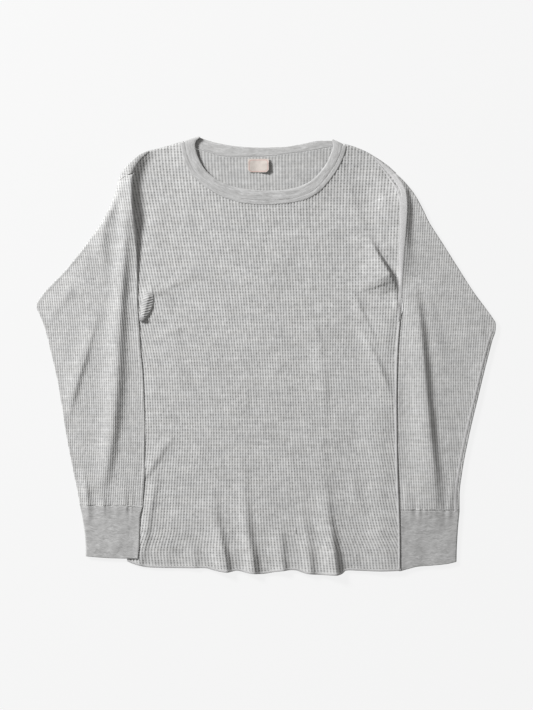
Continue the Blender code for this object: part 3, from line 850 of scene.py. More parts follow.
def knitPatch(lattice, outline, across, along, rim=2.2):
    # a plan of the knit: whole cells inside, and a rim of triangles that follows the outline
    outline = np.asarray(outline, float)[:, :2]
    keep = np.hypot(*(outline - np.roll(outline, 1, axis=0)).T) > 0.05
    outline = outline[keep]
    wales, courses = stitchNumber(lattice, outline[:, 0], outline[:, 1])
    n = np.arange(math.floor(wales.min() - 1) * across, math.ceil(wales.max() + 1) * across + 1) / across
    m = np.arange(math.floor(courses.min() - 1) * along, math.ceil(courses.max() + 1) * along + 1) / along
    wale, course = np.meshgrid(n, m)
    x, y = stitchPlace(lattice, wale, course)
    inside = isInside(outline, x, y)
    band = spread(inside) & spread(~inside)
    for _ in range(6):
        band = spread(band)
    away = np.full(x.shape, 99.0)
    nearX, nearY = nearestOn(outline, x[band], y[band])
    away[band] = np.hypot(nearX - x[band], nearY - y[band])
    deep = inside & (away > rim)
    cell = deep[:-1, :-1] & deep[:-1, 1:] & deep[1:, 1:] & deep[1:, :-1]
    index = np.arange(x.size).reshape(x.shape)
    corners = [index[:-1, :-1], index[:-1, 1:], index[1:, 1:], index[1:, :-1]]
    quads = np.stack(corners, axis=-1)[cell]
    faces = [quads[:, [0, 1, 2]], quads[:, [0, 2, 3]]]
    ends = np.concatenate([quads[:, [i, (i + 1) % 4]] for i in range(4)])
    _, first, count = np.unique(np.sort(ends, axis=1), axis=0, return_index=True, return_counts=True)
    loop = ends[first[count == 1]]
    held = np.unique(loop)
    rings = [outline] + [insetRing(outline, by) for by in (0.25 * rim, 0.6 * rim)]
    added = np.concatenate(rings)
    given = np.concatenate([np.column_stack([x.ravel()[held], y.ravel()[held]]), added])
    lines = [tuple(pair) for pair in np.searchsorted(held, loop)]
    last = len(held) + len(outline) - 1
    lines += [(i, i + 1) for i in range(len(held), last)] + [(last, len(held))]
    made, _, triangles, origins, _, _ = delaunay_2d_cdt([tuple(p) for p in given], lines, [], 0, 1e-5)
    made = np.array([tuple(p) for p in made])
    triangles = np.array([t for t in triangles if len(t) == 3])
    middle = made[triangles].mean(axis=1)
    ok = isInside(outline, middle[:, 0], middle[:, 1])
    inWale, inCourse = stitchNumber(lattice, middle[:, 0], middle[:, 1])
    column = np.clip(np.floor((inWale - n[0]) * across).astype(int), 0, len(n) - 2)
    row = np.clip(np.floor((inCourse - m[0]) * along).astype(int), 0, len(m) - 2)
    triangles = triangles[ok & ~cell[row, column]]
    target = [held[o[0]] if len(o) and o[0] < len(held) else x.size + k for k, o in enumerate(origins)]
    madeWale, madeCourse = stitchNumber(lattice, made[:, 0], made[:, 1])
    allX, allY = np.append(x.ravel(), made[:, 0]), np.append(y.ravel(), made[:, 1])
    stitch = np.column_stack([np.append(wale.ravel(), madeWale), np.append(course.ravel(), madeCourse)])
    nearX, nearY = nearestOn(outline, made[:, 0], made[:, 1])
    allAway = np.append(away.ravel(), np.hypot(nearX - made[:, 0], nearY - made[:, 1]))
    faces = np.concatenate(faces + [np.array(target)[triangles]])
    a, b, c = (np.column_stack([allX[faces[:, i]], allY[faces[:, i]]]) for i in range(3))
    turn = (b - a)[:, 0] * (c - a)[:, 1] - (b - a)[:, 1] * (c - a)[:, 0]
    faces = faces[np.abs(turn) > 1e-6]
    turn = turn[np.abs(turn) > 1e-6]
    faces[turn < 0] = faces[turn < 0][:, ::-1]
    used, faces = np.unique(faces, return_inverse=True)
    return {
        "x": allX[used],
        "y": allY[used],
        "stitch": stitch[used],
        "away": allAway[used],
        "faces": faces.reshape(-1, 3),
    }


def waffleRelief(patch, depth, bar=0.4, seed=5, rim=3.2):  # 0 on the ridges, down to -depth in the pits
    wale, course = patch["stitch"].T
    across = np.clip((1 - np.cos(2 * np.pi * wale)) / 1.5, 0, 1)
    along = bar + (1 - bar) * (1 - np.cos(2 * np.pi * course)) / 2
    x, y = patch["x"], patch["y"]
    uneven = 1 + 0.2 * wander(x, y, 3.1, seed) + 0.14 * wander(x, y, 17, seed + 1)
    return -depth * across * along * uneven * ease(patch["away"], 0.8, rim)


def skirt(points, faces, drop):  # gives a cut edge its thickness
    ends = np.concatenate([faces[:, [0, 1]], faces[:, [1, 2]], faces[:, [2, 0]]])
    _, first, count = np.unique(np.sort(ends, axis=1), axis=0, return_index=True, return_counts=True)
    rim = ends[first[count == 1]]
    upper, lower = np.unique(rim, return_inverse=True)
    lower = lower.reshape(-1, 2) + len(points)
    walls = np.concatenate(
        [
            np.column_stack([rim[:, 1], rim[:, 0], lower[:, 0]]),
            np.column_stack([rim[:, 1], lower[:, 0], lower[:, 1]]),
        ]
    )
    return np.concatenate([points, points[upper] - (0, 0, drop)]), np.concatenate([faces, walls]), upper


garment = bpy.data.collections.new("thermalTopVisual")
bpy.context.scene.collection.children.link(garment)


def place(points):
    return np.asarray(points, float) * mm + np.array([shiftX, shiftY, 0])


def addPiece(name, points, faces, stitch, material, bakeUv=None):
    mesh = bpy.data.meshes.new(name)
    faces = np.asarray(faces, np.int32)
    mesh.vertices.add(len(points))
    mesh.vertices.foreach_set("co", place(points).astype(np.float32).ravel())
    mesh.loops.add(faces.size)
    mesh.loops.foreach_set("vertex_index", faces.ravel())
    mesh.polygons.add(len(faces))
    mesh.polygons.foreach_set("loop_start", np.arange(0, faces.size, faces.shape[1], dtype=np.int32))
    mesh.polygons.foreach_set("use_smooth", np.ones(len(faces), bool))
    mesh.update(calc_edges=True)
    for layerName, values in (("lattice", stitch), ("OFBake", bakeUv)):
        if values is not None:
            layer = mesh.uv_layers.new(name=layerName)
            layer.data.foreach_set("uv", np.asarray(values, np.float32)[faces.ravel()].ravel())
    mesh.validate()
    mesh.materials.append(material)
    piece = bpy.data.objects.new(name, mesh)
    garment.objects.link(piece)
    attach(piece, "root")
    return piece


def joined(layers):  # several meshes as one, laid side by side in the bake map
    points, faces, stitch, bake = [], [], [], []
    start = 0
    for k, (layerPoints, layerFaces, layerStitch) in enumerate(layers):
        low, high = layerPoints[:, :2].min(axis=0), layerPoints[:, :2].max(axis=0)
        unit = (layerPoints[:, :2] - low) / (high - low)
        unit[:, 0] = (k + 0.02 + 0.96 * unit[:, 0]) / len(layers)
        points.append(layerPoints)
        faces.append(layerFaces + start)
        stitch.append(layerStitch)
        bake.append(unit)
        start += len(layerPoints)
    return [np.concatenate(part) for part in (points, faces, stitch, bake)]


def layerOf(patch, z, drop=0.0, under=False):
    points = np.column_stack([patch["x"], patch["y"], z])
    faces = patch["faces"][:, ::-1] if under else patch["faces"]
    stitch = patch["stitch"]
    if drop:
        points, faces, upper = skirt(points, faces, drop)
        stitch = np.concatenate([stitch, stitch[upper]])
    return points, faces, stitch


def wall(piece, thickness):
    made = piece.modifiers.new("wall", "SOLIDIFY")
    made.thickness = thickness * mm
    made.offset = -1


def grid(rows, columns, ringColumns=False, ringRows=False):
    index = np.arange(rows * columns).reshape(rows, columns)
    a = index if ringRows else index[:-1]
    b = np.roll(index, -1, axis=0) if ringRows else index[1:]
    if ringColumns:
        faces = np.stack([a, b, np.roll(b, -1, axis=1), np.roll(a, -1, axis=1)], axis=-1)
    else:
        faces = np.stack([a[:, :-1], b[:, :-1], b[:, 1:], a[:, 1:]], axis=-1)
    return faces.reshape(-1, 4)


def addNode(tree, kind, settings=None, inputs=None):
    made = tree.nodes.new(kind)
    for key, value in (settings or {}).items():
        setattr(made, key, value)
    for key, value in (inputs or {}).items():
        if isinstance(value, bpy.types.NodeSocket):
            tree.links.new(value, made.inputs[key])
        else:
            made.inputs[key].default_value = value
    return made


def compute(tree, operation, a, b=0.0, c=0.0):
    made = addNode(tree, "ShaderNodeMath", {"operation": operation}, {0: a, 1: b, 2: c})
    return made.outputs[0]


def startMaterial(name, roughness, sheen):
    material = bpy.data.materials.new(name)
    material.use_nodes = True
    tree = material.node_tree
    shader = tree.nodes["Principled BSDF"]
    shader.inputs["Sheen Weight"].default_value = sheen
    shader.inputs["Sheen Roughness"].default_value = 0.5
    shader.inputs["Specular IOR Level"].default_value = 0.25
    shader.inputs["Roughness"].default_value = roughness
    return material, tree, shader


def combined(tree, x, y):
    return addNode(tree, "ShaderNodeCombineXYZ", {}, {0: x, 1: y}).outputs[0]


def times(tree, vector, scale):
    made = addNode(tree, "ShaderNodeVectorMath", {"operation": "MULTIPLY"}, {0: vector, 1: scale})
    return made.outputs[0]


def noiseOn(tree, vector, scale, detail=2.0, roughness=0.5):
    inputs = {"Vector": vector, "Scale": scale, "Detail": detail, "Roughness": roughness}
    return addNode(tree, "ShaderNodeTexNoise", {}, inputs).outputs["Fac"]


def whole(tree, value, ahead=0.0):
    return compute(tree, "FLOOR", compute(tree, "ADD", value, ahead))


def chance(tree, x, y):  # a number of its own for each stitch
    at = {"Vector": combined(tree, x, y)}
    return addNode(tree, "ShaderNodeTexWhiteNoise", {"noise_dimensions": "2D"}, at).outputs["Value"]


def around(tree, fac, amount):  # turns a noise into a factor about 1
    return compute(tree, "MULTIPLY_ADD", fac, 2 * amount, 1 - amount)


def product(tree, *factors):
    total = factors[0]
    for factor in factors[1:]:
        total = compute(tree, "MULTIPLY", total, factor)
    return total


def colour(tree, value, tints, share):  # a grey, tinted between two casts
    casts = {0: share, 6: (*tints[0], 1), 7: (*tints[1], 1)}
    mixed = addNode(tree, "ShaderNodeMix", {"data_type": "RGBA"}, casts)
    scaled = {0: mixed.outputs[2], "Scale": value}
    return addNode(tree, "ShaderNodeVectorMath", {"operation": "SCALE"}, scaled).outputs[0]


def finishMaterial(tree, shader, height, strength, distance, fibres):
    inputs = {"Strength": strength, "Distance": distance, "Height": height}
    bump = addNode(tree, "ShaderNodeBump", {}, inputs)
    tree.links.new(bump.outputs[0], shader.inputs["Normal"])
    rough = compute(tree, "MULTIPLY_ADD", fibres, 0.12, 0.84)
    tree.links.new(rough, shader.inputs["Roughness"])


waffleLook = {
    "grey": 0.523,
    "tints": [(1.0, 0.992, 0.972), (0.985, 0.992, 1.0)],
    "pitPaintedShade": 0.34,  # painted shade: how much darker a pit is coloured than a ridge, for the shade in the pits
    # painted shade: how much darker the gaps between the ridges are coloured
    "gapPaintedShade": 0.25,
    "heather": 0.2,  # streaks of lighter and darker yarn, along the courses
    "waleStreak": 0.13,
    "fleck": 0.07,  # from stitch to stitch
    "fibre": 0.1,
    "cloud": 0.09,
}
smoothLook = {
    "tints": [(1.0, 0.994, 0.98), (0.99, 0.993, 1.0)],
    "heather": 0.5,
    "fine": 0.4,
    "fibre": 0.1,
    "cloud": 0.1,
}


def waffleMaterial(name, look, grey, pitPaintedShade=None):
    material, tree, shader = startMaterial(name, 0.92, 0.12)
    stitch = addNode(tree, "ShaderNodeUVMap", {"uv_map": "lattice"}).outputs[0]
    parts = addNode(tree, "ShaderNodeSeparateXYZ", {}, {0: stitch})
    wale, course = parts.outputs[0], parts.outputs[1]
    turn = 2 * math.pi
    ridge = compute(tree, "COSINE", compute(tree, "MULTIPLY", wale, turn))
    bar = compute(tree, "COSINE", compute(tree, "MULTIPLY", course, turn))
    # painted shade: the gaps between the ridges are coloured darker
    gap = compute(tree, "MULTIPLY_ADD", ridge, -0.5, 0.5)
    hollow = compute(tree, "MULTIPLY_ADD", bar, -0.5, 0.5)
    # painted shade: the pits are coloured darker for the shade in them, each pit a little deeper or lighter
    # at random
    pit = compute(tree, "MULTIPLY", gap, hollow)
    pitChance = chance(tree, whole(tree, wale), whole(tree, course))
    pit = compute(tree, "MULTIPLY", pit, compute(tree, "MULTIPLY_ADD", pitChance, 0.8, 0.6))
    shade = compute(tree, "MULTIPLY_ADD", pit, -(pitPaintedShade or look["pitPaintedShade"]), 1.0)
    shade = compute(tree, "MULTIPLY_ADD", gap, -look["gapPaintedShade"], shade)
    ridgeChance = chance(tree, whole(tree, wale, 0.5), whole(tree, course, 3.0))
    object3 = addNode(tree, "ShaderNodeTexCoord").outputs["Object"]
    row = compute(tree, "MULTIPLY", whole(tree, course, 0.5), 0.83)
    yarn = combined(tree, compute(tree, "MULTIPLY", wale, 0.07), row)
    streaks = noiseOn(tree, yarn, 1.0, 3.0, 0.55)
    column = compute(tree, "MULTIPLY", whole(tree, wale, 0.5), 0.71)
    standing = combined(tree, column, compute(tree, "MULTIPLY", course, 0.13))
    columns = noiseOn(tree, standing, 1.0, 2.0, 0.5)
    fibres = noiseOn(tree, times(tree, object3, (1.0, 1.6, 1.0)), 900.0, 2.0, 0.6)
    clouds = noiseOn(tree, object3, 22.0, 3.0, 0.5)
    value = product(
        tree,
        shade,
        around(tree, streaks, look["heather"]),
        around(tree, columns, look["waleStreak"]),
        around(tree, ridgeChance, look["fleck"]),
        around(tree, fibres, look["fibre"]),
        around(tree, clouds, look["cloud"]),
        grey,
    )
    cast = noiseOn(tree, times(tree, stitch, (0.12, 0.5, 1.0)), 1.0, 2.0, 0.6)
    tree.links.new(colour(tree, value, look["tints"], cast), shader.inputs["Base Color"])
    loops = compute(tree, "SINE", compute(tree, "MULTIPLY", course, 3 * turn))
    height = compute(tree, "MULTIPLY_ADD", loops, 0.35, fibres)
    finishMaterial(tree, shader, height, 0.35, 0.0004, fibres)
    return material


def smoothMaterial(name, look, grey, waves):  # u runs along the courses and v up the wales, in centimetres
    material, tree, shader = startMaterial(name, 0.9, 0.12)
    stitch = addNode(tree, "ShaderNodeUVMap", {"uv_map": "lattice"}).outputs[0]
    parts = addNode(tree, "ShaderNodeSeparateXYZ", {}, {0: stitch})
    object3 = addNode(tree, "ShaderNodeTexCoord").outputs["Object"]
    bend = noiseOn(tree, times(tree, stitch, (0.7, 0.7, 1.0)), 1.0, 1.0)
    bent = combined(tree, parts.outputs[0], compute(tree, "MULTIPLY_ADD", bend, waves, parts.outputs[1]))
    streaks = noiseOn(tree, times(tree, bent, (0.45, 3.4, 1.0)), 1.0, 3.0, 0.65)
    fine = noiseOn(tree, times(tree, bent, (1.5, 8.0, 1.0)), 1.0, 2.0, 0.6)
    fibres = noiseOn(tree, object3, 1100.0, 2.0, 0.6)
    clouds = noiseOn(tree, object3, 34.0, 2.0, 0.5)
    value = product(
        tree,
        around(tree, streaks, look["heather"]),
        around(tree, fine, look["fine"]),
        around(tree, fibres, look["fibre"]),
        around(tree, clouds, look["cloud"]),
        grey,
    )
    tree.links.new(colour(tree, value, look["tints"], streaks), shader.inputs["Base Color"])
    turn = 2 * math.pi
    wales = compute(tree, "SINE", compute(tree, "MULTIPLY", parts.outputs[0], 9 * turn))
    loops = compute(tree, "SINE", compute(tree, "MULTIPLY", parts.outputs[1], 12 * turn))
    height = compute(tree, "MULTIPLY_ADD", wales, 0.3, fibres)
    height = compute(tree, "MULTIPLY_ADD", loops, 0.15, height)
    finishMaterial(tree, shader, height, 0.3, 0.0003, fibres)
    return material


def threadMaterial(name, grey, rows):  # v runs across the seam from -1 to 1, u along it in centimetres
    material, tree, shader = startMaterial(name, 0.88, 0.1)
    stitch = addNode(tree, "ShaderNodeUVMap", {"uv_map": "lattice"}).outputs[0]
    parts = addNode(tree, "ShaderNodeSeparateXYZ", {}, {0: stitch})
    object3 = addNode(tree, "ShaderNodeTexCoord").outputs["Object"]
    turn = 2 * math.pi
    lines = compute(tree, "COSINE", compute(tree, "MULTIPLY", parts.outputs[1], rows * math.pi))
    slant = compute(tree, "MULTIPLY_ADD", parts.outputs[1], 0.12, parts.outputs[0])
    ticks = compute(tree, "SINE", compute(tree, "MULTIPLY", slant, 4 * turn))
    thread = compute(tree, "MULTIPLY", lines, ticks)
    fibres = noiseOn(tree, object3, 1000.0, 2.0, 0.6)
    streaks = noiseOn(tree, times(tree, stitch, (2.0, 3.0, 1.0)), 1.0, 2.0, 0.6)
    value = product(
        tree,
        compute(tree, "MULTIPLY_ADD", thread, 0.07, 1.0),
        around(tree, fibres, 0.1),
        around(tree, streaks, 0.2),
        grey,
    )
    tints = [(1.0, 0.995, 0.985), (0.99, 0.985, 1.0)]
    tree.links.new(colour(tree, value, tints, streaks), shader.inputs["Base Color"])
    height = compute(tree, "MULTIPLY_ADD", thread, 0.5, fibres)
    finishMaterial(tree, shader, height, 0.4, 0.0004, fibres)
    return material


labelLook = {
    "cloth": (0.475, 0.432, 0.4),
    "border": (0.46, 0.28, 0.255),
    "borderIn": 2.0,
    "borderWidth": 0.55,
    "fibre": 0.22,
}


def labelMaterial(name, look):  # u and v run 0 to 1 over the label
    material, tree, shader = startMaterial(name, 0.75, 0.1)
    over = addNode(tree, "ShaderNodeUVMap", {"uv_map": "lattice"}).outputs[0]
    parts = addNode(tree, "ShaderNodeSeparateXYZ", {}, {0: over})
    edges = []
    for axis, side in ((0, "width"), (1, "height")):
        middle = compute(tree, "ABSOLUTE", compute(tree, "SUBTRACT", parts.outputs[axis], 0.5))
        edges.append(compute(tree, "MULTIPLY", compute(tree, "SUBTRACT", 0.5, middle), labelPiece[side]))
    corner = compute(tree, "MULTIPLY", compute(tree, "ADD", *edges), math.sqrt(0.5))
    corner = compute(tree, "SUBTRACT", corner, labelPiece["chamfer"] * math.sqrt(0.5))
    fromEdge = compute(tree, "MINIMUM", compute(tree, "MINIMUM", *edges), corner)
    off = compute(tree, "ABSOLUTE", compute(tree, "SUBTRACT", fromEdge, look["borderIn"]))
    width = look["borderWidth"]
    fade = {"Value": off, "From Min": width / 2, "From Max": width, "To Min": 1.0, "To Max": 0.0}
    line = addNode(tree, "ShaderNodeMapRange", {"interpolation_type": "SMOOTHSTEP"}, fade).outputs[0]
    object3 = addNode(tree, "ShaderNodeTexCoord").outputs["Object"]
    fibres = noiseOn(tree, times(tree, object3, (1.0, 3.0, 1.0)), 700.0, 3.0, 0.65)
    weave = addNode(tree, "ShaderNodeTexWave", {"bands_direction": "Y"}, {"Vector": object3, "Scale": 420.0})
    shaded = colour(tree, around(tree, fibres, look["fibre"]), (look["cloth"], look["border"]), line)
    tree.links.new(shaded, shader.inputs["Base Color"])
    finishMaterial(tree, shader, weave.outputs["Fac"], 0.35, 0.0002, fibres)
    return material


frontKnit = waffleMaterial("waffleFront", waffleLook, waffleLook["grey"])
backKnit = waffleMaterial("waffleBack", waffleLook, waffleLook["grey"] * 0.88, 0.15)
sleeveKnit = waffleMaterial("waffleSleeve", waffleLook, waffleLook["grey"] * 0.97, 0.26)
cuffKnit = smoothMaterial("smoothCuff", smoothLook, 0.37, 1.1)
bandKnit = smoothMaterial("smoothNeckband", {**smoothLook, "fine": 0.32}, 0.4, 0.25)
seamThread = threadMaterial("seamThread", 0.42, 4)
edgeThread = threadMaterial("edgeThread", 0.49, 4)
hemThread = threadMaterial("hemThread", 0.4, 2)
labelWeave = labelMaterial("wovenLabel", labelLook)
print("materials made")


def bodyOutline(hem, neckline):
    rise = np.linspace(0, 1, 160)
    rightY = hem[0][1] + (645 - hem[0][1]) * rise
    leftY = hem[-1][1] + (641 - hem[-1][1]) * rise
    right = np.column_stack([fromTable(bodyEdges, 1, rightY), rightY])
    left = np.column_stack([fromTable(bodyEdges, 2, leftY), leftY])
    return np.concatenate(
        [
            every(hem, 3),
            left[1:-1],
            shoulders["left"][::-1],
            every(neckline, 3)[::-1],
            shoulders["right"][::-1],
            right[1:-1][::-1],
        ]
    )


def buildFront():
    outline = bodyOutline(frontPiece["hem"], frontPiece["neckline"])
    patch = knitPatch(knitLattice(frontPiece["knit"]), outline, frontPiece["across"], frontPiece["along"])
    relief = waffleRelief(patch, frontPiece["pitDepth"], frontPiece["barDepth"])
    layer = layerOf(patch, frontTop(patch["x"], patch["y"], relief), 1.1)
    points, faces, stitch, bake = joined([layer])
    piece = addPiece("frontWaffle", points, faces, stitch, frontKnit, bake)
    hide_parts("front")
    return piece


def buildBack():  # its underside, and its inner face where the neck and the hem show it
    lattice = knitLattice(frontPiece["knit"])
    under = knitPatch(lattice, bodyOutline(backPiece["hem"], backPiece["neckline"]), 2, 2)
    x, y = under["x"], under["y"]
    dragged = np.maximum(0, foldRelief(backPiece["folds"], x, y))
    low = tuckRise(x, y) + dragged - waffleRelief(under, backPiece["pitDepth"], backPiece["barDepth"], 8)
    low = turnedDown(low, frontSkin(x, y), bodyTurn(x, y))

    neckline, hem = every(backPiece["neckline"], 3), every(backPiece["hem"], 3)
    opening = np.concatenate([neckline, every(frontPiece["neckline"], 3)[::-1]])
    inside = knitPatch(knitLattice(frontPiece["knit"], 1.5), opening, 4, 2)
    neckZ = levels["knit"] + waffleRelief(inside, backPiece["insideDepth"], backPiece["barDepth"], 21)
    neckZ = neckZ + 0.3 + 0.4 * wander(inside["x"], inside["y"], 26, 31)

    turned = knitPatch(lattice, np.concatenate([hem, (hem + (0, backPiece["hemTurn"]))[::-1]]), 2, 2)
    hemZ = levels["knit"] + tuckRise(turned["x"], turned["y"]) + waffleRelief(turned, 0.5, 0.3, 8)

    layers = [layerOf(under, low, -0.8, True), layerOf(inside, neckZ, 0.5), layerOf(turned, hemZ, 0.9)]
    points, faces, stitch, bake = joined(layers)
    piece = addPiece("backWaffle", points, faces, stitch, backKnit, bake)
    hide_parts("back")
    return piece


front = buildFront()
print("front knitted")
back = buildBack()
print("back knitted")


def gathers(x, fromSeam, reach, seed):  # fine pleats where the cuff draws the sleeve in
    bend = 3 * wander(x, x * 0, 14, seed)
    waves = np.sin(x / 1.9 + bend) + 0.7 * np.sin(x / 3.4 + 1.6 * bend)
    return waves * np.exp(-np.maximum(0, fromSeam) / reach)


def buildSleeve(name, spec, sides, skin, floorOf, turnOf, seed):
    outline = np.concatenate([sides["outer"][::-1], sides["inner"]])
    lattice = knitLattice(spec["knit"], spec["knitAxis"])
    endY = spec["edges"][-1][0]
    layers = []
    for under in (False, True):
        patch = knitPatch(lattice, outline, 2 if under else 4, 2)
        x, y = patch["x"], patch["y"]
        top, floor = skin(x, y), floorOf(x, y)
        relief = waffleRelief(patch, 0.5 if under else spec["pitDepth"], spec["barDepth"], seed, 5)
        if under:
            z = turnedDown(floor - relief, top, turnOf(x, y))
        else:
            pleats = cuffs["pleats"] * gathers(x, y - endY, 13, seed)
            z = turnedDown(top + relief + pleats, floor, turnOf(x, y))
        layers.append(layerOf(patch, z, 0.0, under))
    points, faces, stitch, bake = joined(layers)
    piece = addPiece(name, points, faces, stitch, sleeveKnit, bake)
    return piece


sleeveRight = buildSleeve(
    "sleeveRightWaffle", rightSleeve, rightSides, rightSleeveSkin, rightSleeveFloor, rightSleeveTurn, 41
)
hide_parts("sleeve_right")
sleeveLeft = buildSleeve(
    "sleeveLeftWaffle", leftSleeve, leftSides, leftSleeveSkin, lambda x, y: 0 * x, leftSleeveTurn, 61
)
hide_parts("sleeve_left")
print("sleeves knitted")


def buildCuff(side, seed):
    table, end = cuffs[side]["edges"], cuffs[side]["end"]
    isRight = side == "right"
    skin = rightSleeveSkin if isRight else leftSleeveSkin
    way = -1 if isRight else 1
    topY, endY = table[0][0], table[-1][0]
    heights = np.linspace(topY + 2, endY, 64)
    radius, across = cuffs["radius"], 76
    rows = []
    for y in heights:
        outerX, innerX = fromTable(table, 1, y), fromTable(table, 2, y)
        topX = np.linspace(innerX + way * radius, outerX - way * radius, across)
        lineY = np.full(across, y)
        topZ = skin(topX, lineY) - cuffs["step"]
        floor = rightSleeveFloor(topX, lineY) if isRight else 0 * topX
        angles = np.radians(np.linspace(10, 170, 9))
        outTurn = outerX - way * radius * (1 - np.sin(angles))
        outZ = topZ[-1] / 2 * (1 + np.cos(angles))
        inTurn = innerX + way * radius * (1 - np.sin(angles))
        inZ = floor[0] + (topZ[0] - floor[0]) / 2 * (1 - np.cos(angles))
        x = np.concatenate([topX, outTurn, topX[::-1], inTurn])
        z = np.concatenate([topZ, outZ, floor[::-1], inZ])
        rows.append(np.column_stack([x, np.full(len(x), y), z]))
    points = np.array(rows)
    share = (heights[0] - heights) / (heights[0] - heights[-1])
    endLine = smoothCurve([p[0] for p in end], [p[1] for p in end], points[..., 0])
    points[..., 1] += share[:, None] * (endLine - heights[-1])
    upper = np.concatenate([np.ones(across), np.linspace(1, 0, 9), np.zeros(across), np.linspace(0, 1, 9)])
    x, y = points[..., 0], points[..., 1]
    soft = 0.4 * wander(x, y, 16, seed) + 0.2 * wander(x, y, 6, seed + 1)
    pleats = cuffs["pleats"] * gathers(x, topY - y, 9, {"right": 41, "left": 61}[side])
    points[..., 2] += upper * (soft * ease(topY - y, 0, 12) + pleats)
    step = np.linalg.norm(np.diff(points[0], axis=0), axis=1)
    roundIt = np.concatenate([[0], np.cumsum(step)])
    lines = np.broadcast_arrays(roundIt[None, :] / 10, y / 10)
    stitch = np.stack(lines, axis=-1).reshape(-1, 2)
    faces = grid(len(heights), points.shape[1], True)[:, ::way]
    piece = addPiece("cuff" + side.capitalize() + "Smooth", points.reshape(-1, 3), faces, stitch, cuffKnit)
    wall(piece, cuffs["wall"])
    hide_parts("cuff_" + side)
    return piece


cuffRight = buildCuff("right", 81)
cuffLeft = buildCuff("left", 91)
print("cuffs made")


def bandSection(free, sewn, outerZ, flip, groove):  # one closed loop across the doubled band
    across = np.array([0.0, 0.03, 0.1, 0.22, 0.4, 0.6, 0.78, 0.9, 0.97, 1.0])
    crown = np.array([-0.75, -0.3, 0.0, 0.18, 0.24, 0.22, 0.2, 0.18, 0.12, 0.0])
    crown = crown - groove * np.array([0, 0, 0, 0, 0, 0, 0.1, 0.3, 0.8, 1.3])
    plan = free + (sewn - free) * across[:, None]
    outer = np.column_stack([plan, outerZ + flip * crown])
    inner = np.column_stack([plan, outerZ - flip * levels["rib"] - flip * 0.6 * crown])
    return np.concatenate([outer, inner[::-1]])


def bandHalf(freeLine, sewnLine, stations):
    shares = np.linspace(0, 1, stations + 1)
    free, sewn = sample(freeLine, shares), sample(sewnLine, shares)
    way = np.gradient(sewn, axis=0)
    inward = np.stack([-way[:, 1], way[:, 0]], axis=1) / np.hypot(*way.T)[:, None]
    return free, sewn + 0.3 * inward


def shoulderTurn(free, sewn, top, way):  # from the front over the shoulder to the back
    line = (free - sewn) / np.hypot(*(free - sewn))
    away = way * np.array([-line[1], line[0]])
    made = []
    for angle in np.linspace(0, math.pi, neckband["turnStations"] + 2)[1:-1]:
        out = away * neckband["turn"] * math.sin(angle)
        flat = bandSection(free + out, sewn + out, 0, 1, 0.5)
        inward = flat[:, 2].copy()
        flat[:, 2] = top / 2 * (1 + math.cos(angle)) + inward * math.cos(angle)
        flat[:, :2] += away * inward[:, None] * math.sin(angle)
        made.append(flat)
    return made


def grooveAt(x):
    return fromTable(neckband["groove"], 1, x)


def buildNeckband():
    frontFree, frontSewn = bandHalf(neckband["frontFree"], frontPiece["neckline"], neckband["frontStations"])
    backFree, backSewn = bandHalf(neckband["backFree"], backPiece["neckline"], neckband["backStations"])
    frontZ = frontSkin(frontSewn[:, 0], frontSewn[:, 1]) + levels["rib"] - levels["knit"]
    frontZ = frontZ + 0.25 * wander(frontSewn[:, 0], frontSewn[:, 1], 12, 101)
    sections = []
    for free, sewn, z, groove in zip(frontFree, frontSewn, frontZ, grooveAt(frontSewn[:, 0])):
        sections.append(bandSection(free, sewn, z, 1, groove))
    sections += shoulderTurn(frontFree[-1], frontSewn[-1], frontZ[-1], -1)
    for free, sewn in zip(backFree[::-1], backSewn[::-1]):
        sections.append(bandSection(free, sewn, 0.25, -1, 0.5))
    sections += shoulderTurn(frontFree[0], frontSewn[0], frontZ[0], 1)[::-1]
    points = np.array(sections)
    step = np.linalg.norm(np.diff(points.mean(axis=1), axis=0), axis=1)
    along = np.concatenate([[0], np.cumsum(step)])
    acrossAt = np.concatenate([np.linspace(0, 1.6, 10), np.linspace(1.6, 0, 10)])
    stitch = np.stack(np.broadcast_arrays(along[:, None] / 10, acrossAt[None, :]), axis=-1).reshape(-1, 2)
    faces = grid(len(sections), points.shape[1], True, True)[:, ::-1]
    piece = addPiece("neckbandSmooth", points.reshape(-1, 3), faces, stitch, bandKnit)
    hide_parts("neckband")
    return piece


band = buildNeckband()
print("neckband made")


def buildLabel():
    half, tall = labelPiece["width"] / 2, labelPiece["height"] / 2
    columns, rows = 35, 23
    u, v = np.meshgrid(np.linspace(-1, 1, columns), np.linspace(-1, 1, rows))
    x, y = u * half, v * tall
    low = -tall + np.maximum(0, np.abs(x) - (half - labelPiece["chamfer"]))
    y = low + (y + tall) / (2 * tall) * (tall - low)
    sew = ease(v, 0.2, 0.8)
    lift = labelPiece["lift"] * ease(u, -0.3, 1.3) * (1 - 0.5 * sew) + 0.5 * ease(-u, 0.5, 0.5) * (1 - sew)
    z = 2.5 + lift + 0.2 * np.sin(4 * u + 1.5 * v) + 0.15 * wander(x, y, 5, 111)
    points = np.stack([x + labelPiece["centre"][0], y + labelPiece["centre"][1], z], axis=-1).reshape(-1, 3)
    stitch = np.stack([x / (2 * half) + 0.5, y / (2 * tall) + 0.5], axis=-1).reshape(-1, 2)
    piece = addPiece("neckLabel", points, grid(rows, columns)[:, ::-1], stitch, labelWeave)
    wall(piece, labelPiece["wall"])
    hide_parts("label")
    return piece


label = buildLabel()


# Seams: each is a strip between two lines, lying on the cloth below it
def bodyOrLeftSleeve(x, y):
    return np.where(x < fromTable(bodyEdges, 2, y), frontTop(x, y), leftSleeveTop(x, y))


def bodyOrRightSleeve(x, y):  # the sleeve head, where one runs into the other
    share = ease(y, 630, 24)
    return share * frontSkin(x, y) + (1 - share) * rightSleeveSkin(x, np.minimum(y, 638))


def shifted(line, off):  # moves a line to its right-hand side
    line = np.array(line, float)[:, :2]
    way = np.gradient(line, axis=0)
    return line + np.stack([way[:, 1], -way[:, 0]], axis=1) / np.hypot(*way.T)[:, None] * off


